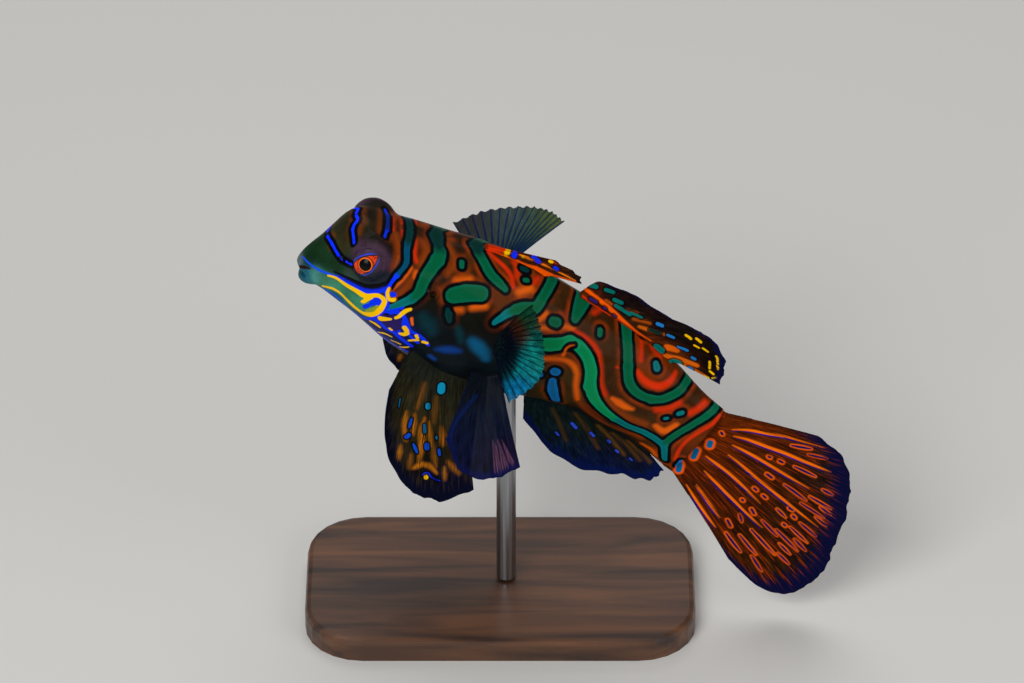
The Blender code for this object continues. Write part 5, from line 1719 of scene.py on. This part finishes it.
def paired_fins(solid, keys, paints, finishes, count, per_gap, rows, scallop, wave, forks, girth):
    """The left and right fin of a pair; the sizes mean what they do in a middle fin.

    keys, paints and finishes are for the left fin and the right one. A right fin with no paint of
    its own takes the left one's.
    """
    paths = ray_paths(count, per_gap, rows, girth, forks)
    for word, side, key_rows, paint, finish in zip(("left", "right"), (LEFT, RIGHT), keys, paints, finishes):
        grid, along, length = fin_grid(
            lambda across: paired_rays(key_rows, side, across), count, per_gap, rows, scallop, wave
        )
        if paint:
            canvas = Canvas(grid)
            marks = paint
        laid = FinPaint(canvas, grid, EVENING, *marks)
        fin = fin_piece(f"{solid}_{word}_skin", grid, along, length, paths, laid, finish)
        placed_fin(fin, f"{solid}_{word}")


LEFT_PECTORAL_GROUND = (
    ("0A161C", 1.2, (500, 345)), ("0A1E26", 1.2, (503, 366)), ("08161C", 1.2, (511, 344)),
    ("08161C", 1.2, (513, 354)), ("08181E", 1.1, (511, 366)), ("109CA4", 1.1, (522, 366)),
    ("0C7CB0", 1.0, (514, 387)), ("109C94", 1.0, (533, 354)), ("0A5C54", 1.1, (540, 338)),
    ("0E4430", 1.3, (536, 318)), ("4A240C", 1.3, (518, 328)), ("104A2C", 1.3, (520, 309)),
)
RIGHT_PECTORAL_GROUND = (
    ("0A0E14", 1.8, (470, 222)), ("121A22", 1.6, (486, 218)), ("2E4246", 1.8, (502, 216)),
    ("223E44", 1.6, (518, 222)), ("2A4A2A", 1.8, (535, 222)), ("4A5A18", 1.6, (548, 218)),
)
left_finish = fin_material("clear turquoise fin skin with dark rays", rays=("050A16", 0.97),
                           edge=("000000", 0.0), hair=("06141C", 0.4), ring=0.0, clear=0.3)
right_finish = fin_material("clear grey fin skin with blue rays", rays=("0A2450", 0.97),
                            edge=("000000", 0.0), hair=("0A161E", 0.4), ring=0.0, clear=0.2)
paired_fins("pectoral_fin", (LEFT_PECTORAL, RIGHT_PECTORAL),
            (((), (), LEFT_PECTORAL_GROUND), ((), (), RIGHT_PECTORAL_GROUND)), (left_finish, right_finish),
            count=16, per_gap=8, rows=50, scallop=0.014, wave=0.15, forks=(), girth=0.19)

# Pelvic fins: broad lobes that hang forward, olive and ochre with blue spots and a navy margin
PELVIC = (
    (0.0, 13.2, 130, -38, -33, 4.3, 0.0, 0.0),
    (0.2, 14.2, 131, -42, -58, 10.0, 0.4, 0.0),
    (0.5, 15.6, 133, -24, -63, 12.8, 0.4, 0.0),
    (0.75, 17.2, 136, -7, -65, 13.0, 0.4, 0.0),
    (1.0, 20.0, 137, 3, -48, 10.8, 0.4, 0.0),
)
PELVIC_BLUE = "0A4CC8"
LAGOON_BLUE = "0A6AA0"
OCHRE = "B06A10"
PELVIC_WARM = (
    (OCHRE, 0.3, (0.2, 0.5, 0.2), ((400.5, 446), (399.8, 452), (398.6, 459))),
    (YELLOW, 0.05, (0.3, 0.5), ((424.6, 473.6), (426, 477))),
    ("C87410", 0.22, (0.2, 0.5, 0.4, 0.5, 0.2),
     ((413, 468), (419, 464.5), (424.6, 463), (430, 466), (437, 473))),
    (OCHRE, 0.3, (0.2, 0.4, 0.2), ((444.8, 468), (445, 473), (445, 479))),
    ("9A5A12", 0.35, (0.2, 0.5, 0.3), ((448, 462), (453, 467), (459, 473))),
    ("A8600E", 0.35, (0.2, 0.6, 0.3), ((442, 428), (442.6, 436), (443, 444))),
    ("C0700E", 0.3, (0.15, 0.5, 0.4, 0.2), ((406, 412), (404.6, 420), (404, 430), (406, 440))),
    ("C0700E", 0.3, (0.15, 0.45, 0.2), ((414.4, 414), (414, 424), (413, 434))),
    ("C87410", 0.3, (0.1, 0.45, 0.6, 0.4, 0.1),
     ((425, 418), (421, 430), (422, 440), (420.6, 452), (419, 462))),
    (OCHRE, 0.3, (0.15, 0.4, 0.2), ((429, 422), (429.6, 434), (431.4, 446))),
    ("9A5A12", 0.35, (0.1, 0.3, 0.1), ((411, 455), (410, 462), (409, 468))),
    ("7A4A14", 0.4, (0.2, 0.5, 0.2), ((424, 384), (421, 396), (417, 408))),
    ("7A4A14", 0.4, (0.2, 0.4, 0.2), ((436, 398), (434.6, 410), (433.6, 422))),
    ("8A5212", 0.35, (0.2, 0.5, 0.2), ((433, 446), (434, 456), (436, 466))),
)
PELVIC_COOL = (
    ("0F8FB8", 0.05, 0.8, ((440.8, 386), (440.8, 390))),
    ("0F8FB8", 0.05, 0.5, ((427.8, 405), (427.8, 407))),
    (PELVIC_BLUE, 0.05, (0.2, 0.32, 0.2), ((411.8, 418.6), (410.6, 422.6), (409, 427))),
    (PELVIC_BLUE, 0.05, 0.42, ((406.4, 436.8), (409, 435))),
    (LAGOON_BLUE, 0.05, 0.28, ((424.6, 425), (424.6, 432))),
    (LAGOON_BLUE, 0.05, 0.16, ((399.8, 398.5), (398.6, 406.5))),
    (LAGOON_BLUE, 0.05, 0.2, ((436.6, 436.6), (436.6, 438.4))),
    (PELVIC_BLUE, 0.05, (0.2, 0.34, 0.2), ((413.4, 444), (415.2, 448), (417, 452.4))),
    (PELVIC_BLUE, 0.05, 0.5, ((426.6, 445), (426.8, 448))),
    (PELVIC_BLUE, 0.05, 0.3, ((439.2, 450), (439.8, 454.6))),
    (STRIPE_BLUE, 0.05, 0.13, ((422, 475), (423.4, 471.6), (426, 470.2), (428.6, 472), (431, 477))),
    (STRIPE_BLUE, 0.05, 0.1, ((431, 477), (435, 480), (440, 480.6))),
)
PELVIC_GROUND = (
    ("161E1C", 2.0, (425, 372)), ("20241C", 2.2, (440, 388)), ("2C2A1C", 2.2, (425, 395)),
    ("2E2A18", 2.4, (432, 425)), ("302C1A", 2.2, (405, 400)), ("2E2614", 2.4, (408, 440)),
    ("241E12", 2.4, (450, 440)), ("0E1624", 1.6, (386, 410)), ("0C1430", 1.8, (388, 445)),
    ("1A1610", 1.8, (420, 458)), ("08081A", 2.2, (425, 492)), ("0A0C24", 2.2, (450, 488)),
    ("0A0A18", 1.8, (402, 478)),
)
pelvic_finish = fin_material("fin skin, olive with blue spots, wet", rays=("14140E", 0.5),
                             edge=("070A20", 1.4), hair=("4A3C12", 0.45), ring=0.95, whole=0.2)
paired_fins("pelvic_fin", (PELVIC, PELVIC), ((PELVIC_WARM, PELVIC_COOL, PELVIC_GROUND), None),
            (pelvic_finish, pelvic_finish),
            count=6, per_gap=26, rows=90, scallop=0.01, wave=0.35, forks=(0.3, 0.6), girth=0.2)

# Pelvic webs: the skin that joins each pelvic fin to the body, navy with rose hairlines
WEB = (
    (0.0, 19.8, 117, -30, -36, 6.4, 0.0, -1.0),
    (0.3, 20.5, 116, -16, -44, 9.0, 0.0, -1.0),
    (0.7, 21.4, 114, 4, -44, 9.4, 0.4, -1.0),
    (1.0, 22.2, 108, 16, -44, 8.6, 0.4, -1.0),
)
WEB_ROSE = "7A4E68"
WEB_WARM = tuple(
    (WEB_ROSE, 0.12, (0.02, 0.06, 0.1),
     ((493 + 1.5 * i, 440 + 3 * (i % 3)), (495 + 3.0 * i, 473))) for i in range(9)
)
WEB_COOL = (
    ("081E5A", 0.3, 0.16, ((476, 396), (463, 411), (453, 427), (450, 440), (451, 454))),
)
WEB_GROUND = (
    ("0C1216", 2.2, (480, 395)), ("0A1226", 2.2, (478, 425)), ("0A1030", 2.4, (465, 450)),
    ("100E24", 2.4, (490, 455)), ("1A1430", 2.0, (508, 462)), ("0E1628", 2.0, (496, 420)),
    ("080A1C", 2.0, (480, 475)),
)
web_finish = fin_material("fin skin, navy and violet, wet", rays=("10183A", 0.4), edge=("0A1040", 0.6),
                          hair=("141C3C", 0.4), ring=0.0, whole=0.3)
paired_fins("pelvic_web", (WEB, WEB), ((WEB_WARM, WEB_COOL, WEB_GROUND), None), (web_finish, web_finish),
            count=5, per_gap=24, rows=72, scallop=0.015, wave=0.25, forks=(0.35,), girth=0.16)

# The display stand: a waxed walnut foot with rounded corners and a brushed steel rod that carries
# the fish from below. Both keep the mesh of their solids.
WALNUT = ("2A170C", "4E2F1B", "6A4226")
STEEL = ("96989C", "B4B6BA")


def stand_material(name, settings, grain_size, colours, bump_size):
    """Base of both stand finishes: colours and fine relief follow a long grain.

    grain_size is how often the grain repeats in a metre along each axis, and bump_size how high
    its relief is in metres.
    """
    material, tree = bare_material(name)
    place = node(tree, "ShaderNodeTexCoord").outputs["Object"]
    grain_place = node(tree, "ShaderNodeMapping", None, {"Vector": place, "Scale": grain_size}).outputs[0]
    grain = node(tree, "ShaderNodeTexNoise", None,
                 {"Vector": grain_place, "Scale": 1.0, "Detail": 6.0, "Distortion": 0.6})
    ramp = node(tree, "ShaderNodeValToRGB", None, {"Fac": grain.outputs[0]})
    ramp.color_ramp.elements[0].position = 0.36
    ramp.color_ramp.elements[1].position = 0.68
    ramp.color_ramp.elements[0].color = colour4(colours[0])
    ramp.color_ramp.elements[1].color = colour4(colours[-1])
    for code in colours[1:-1]:
        ramp.color_ramp.elements.new(0.5).color = colour4(code)
    bump = node(tree, "ShaderNodeBump", None,
                {"Strength": 0.2, "Distance": bump_size, "Height": grain.outputs[0]})
    shader = node(tree, "ShaderNodeBsdfPrincipled", None, {
        "Base Color": ramp.outputs["Color"], "Normal": bump.outputs[0], **settings,
    })
    node(tree, "ShaderNodeOutputMaterial", None, {"Surface": shader.outputs[0]})
    return material


# Walnut under wax: dark lengthwise figure, and a soft broad sheen
walnut = stand_material("walnut, waxed", {"Roughness": 0.5, "Coat Weight": 0.25, "Coat Roughness": 0.25},
                        grain_size=(40.0, 420.0, 420.0), colours=WALNUT, bump_size=0.00004)
# Brushed steel: pale grey metal whose highlight spreads across the brushing
steel = stand_material("steel, brushed", {"Metallic": 1.0, "Roughness": 0.32, "Anisotropic": 0.5},
                       grain_size=(2600.0, 2600.0, 90.0), colours=STEEL, bump_size=0.00001)
for name, finish in (("stand_base", walnut), ("stand_rod", steel)):
    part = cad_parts[name]
    part.data.materials.clear()
    part.data.materials.append(finish)

# The floor: a plain pale sheet, and soft studio light from three sides
floor = mesh_piece("floor", ((-1.5, -1.5, 0), (1.5, -1.5, 0), (1.5, 1.5, 0), (-1.5, 1.5, 0)), ((0, 1, 2, 3),))
pale = bpy.data.materials.new("floor, matt pale paint")
pale.use_nodes = True
pale.node_tree.nodes["Principled BSDF"].inputs["Base Color"].default_value = colour4("D8D6D2")
pale.node_tree.nodes["Principled BSDF"].inputs["Roughness"].default_value = 0.8
floor.data.materials.append(pale)

for name, place, size, power in (
    ("key", (-0.22, -0.42, 0.42), 0.3, 2.3),
    ("fill", (0.4, -0.3, 0.25), 0.35, 0.7),
    ("top", (0.0, 0.25, 0.5), 0.4, 1.0),
):
    light = bpy.data.objects.new(name, bpy.data.lights.new(name, "AREA"))
    light.data.size = size
    light.data.energy = power
    light.location = place
    light.rotation_euler = (Vector((0, 0, 0.03)) - Vector(place)).to_track_quat("-Z", "Y").to_euler()
    scene.collection.objects.link(light)
world = bpy.data.worlds.new("studio")
world.use_nodes = True
world.node_tree.nodes["Background"].inputs["Color"].default_value = colour4("E4E8EC")
world.node_tree.nodes["Background"].inputs["Strength"].default_value = 0.2
scene.world = world
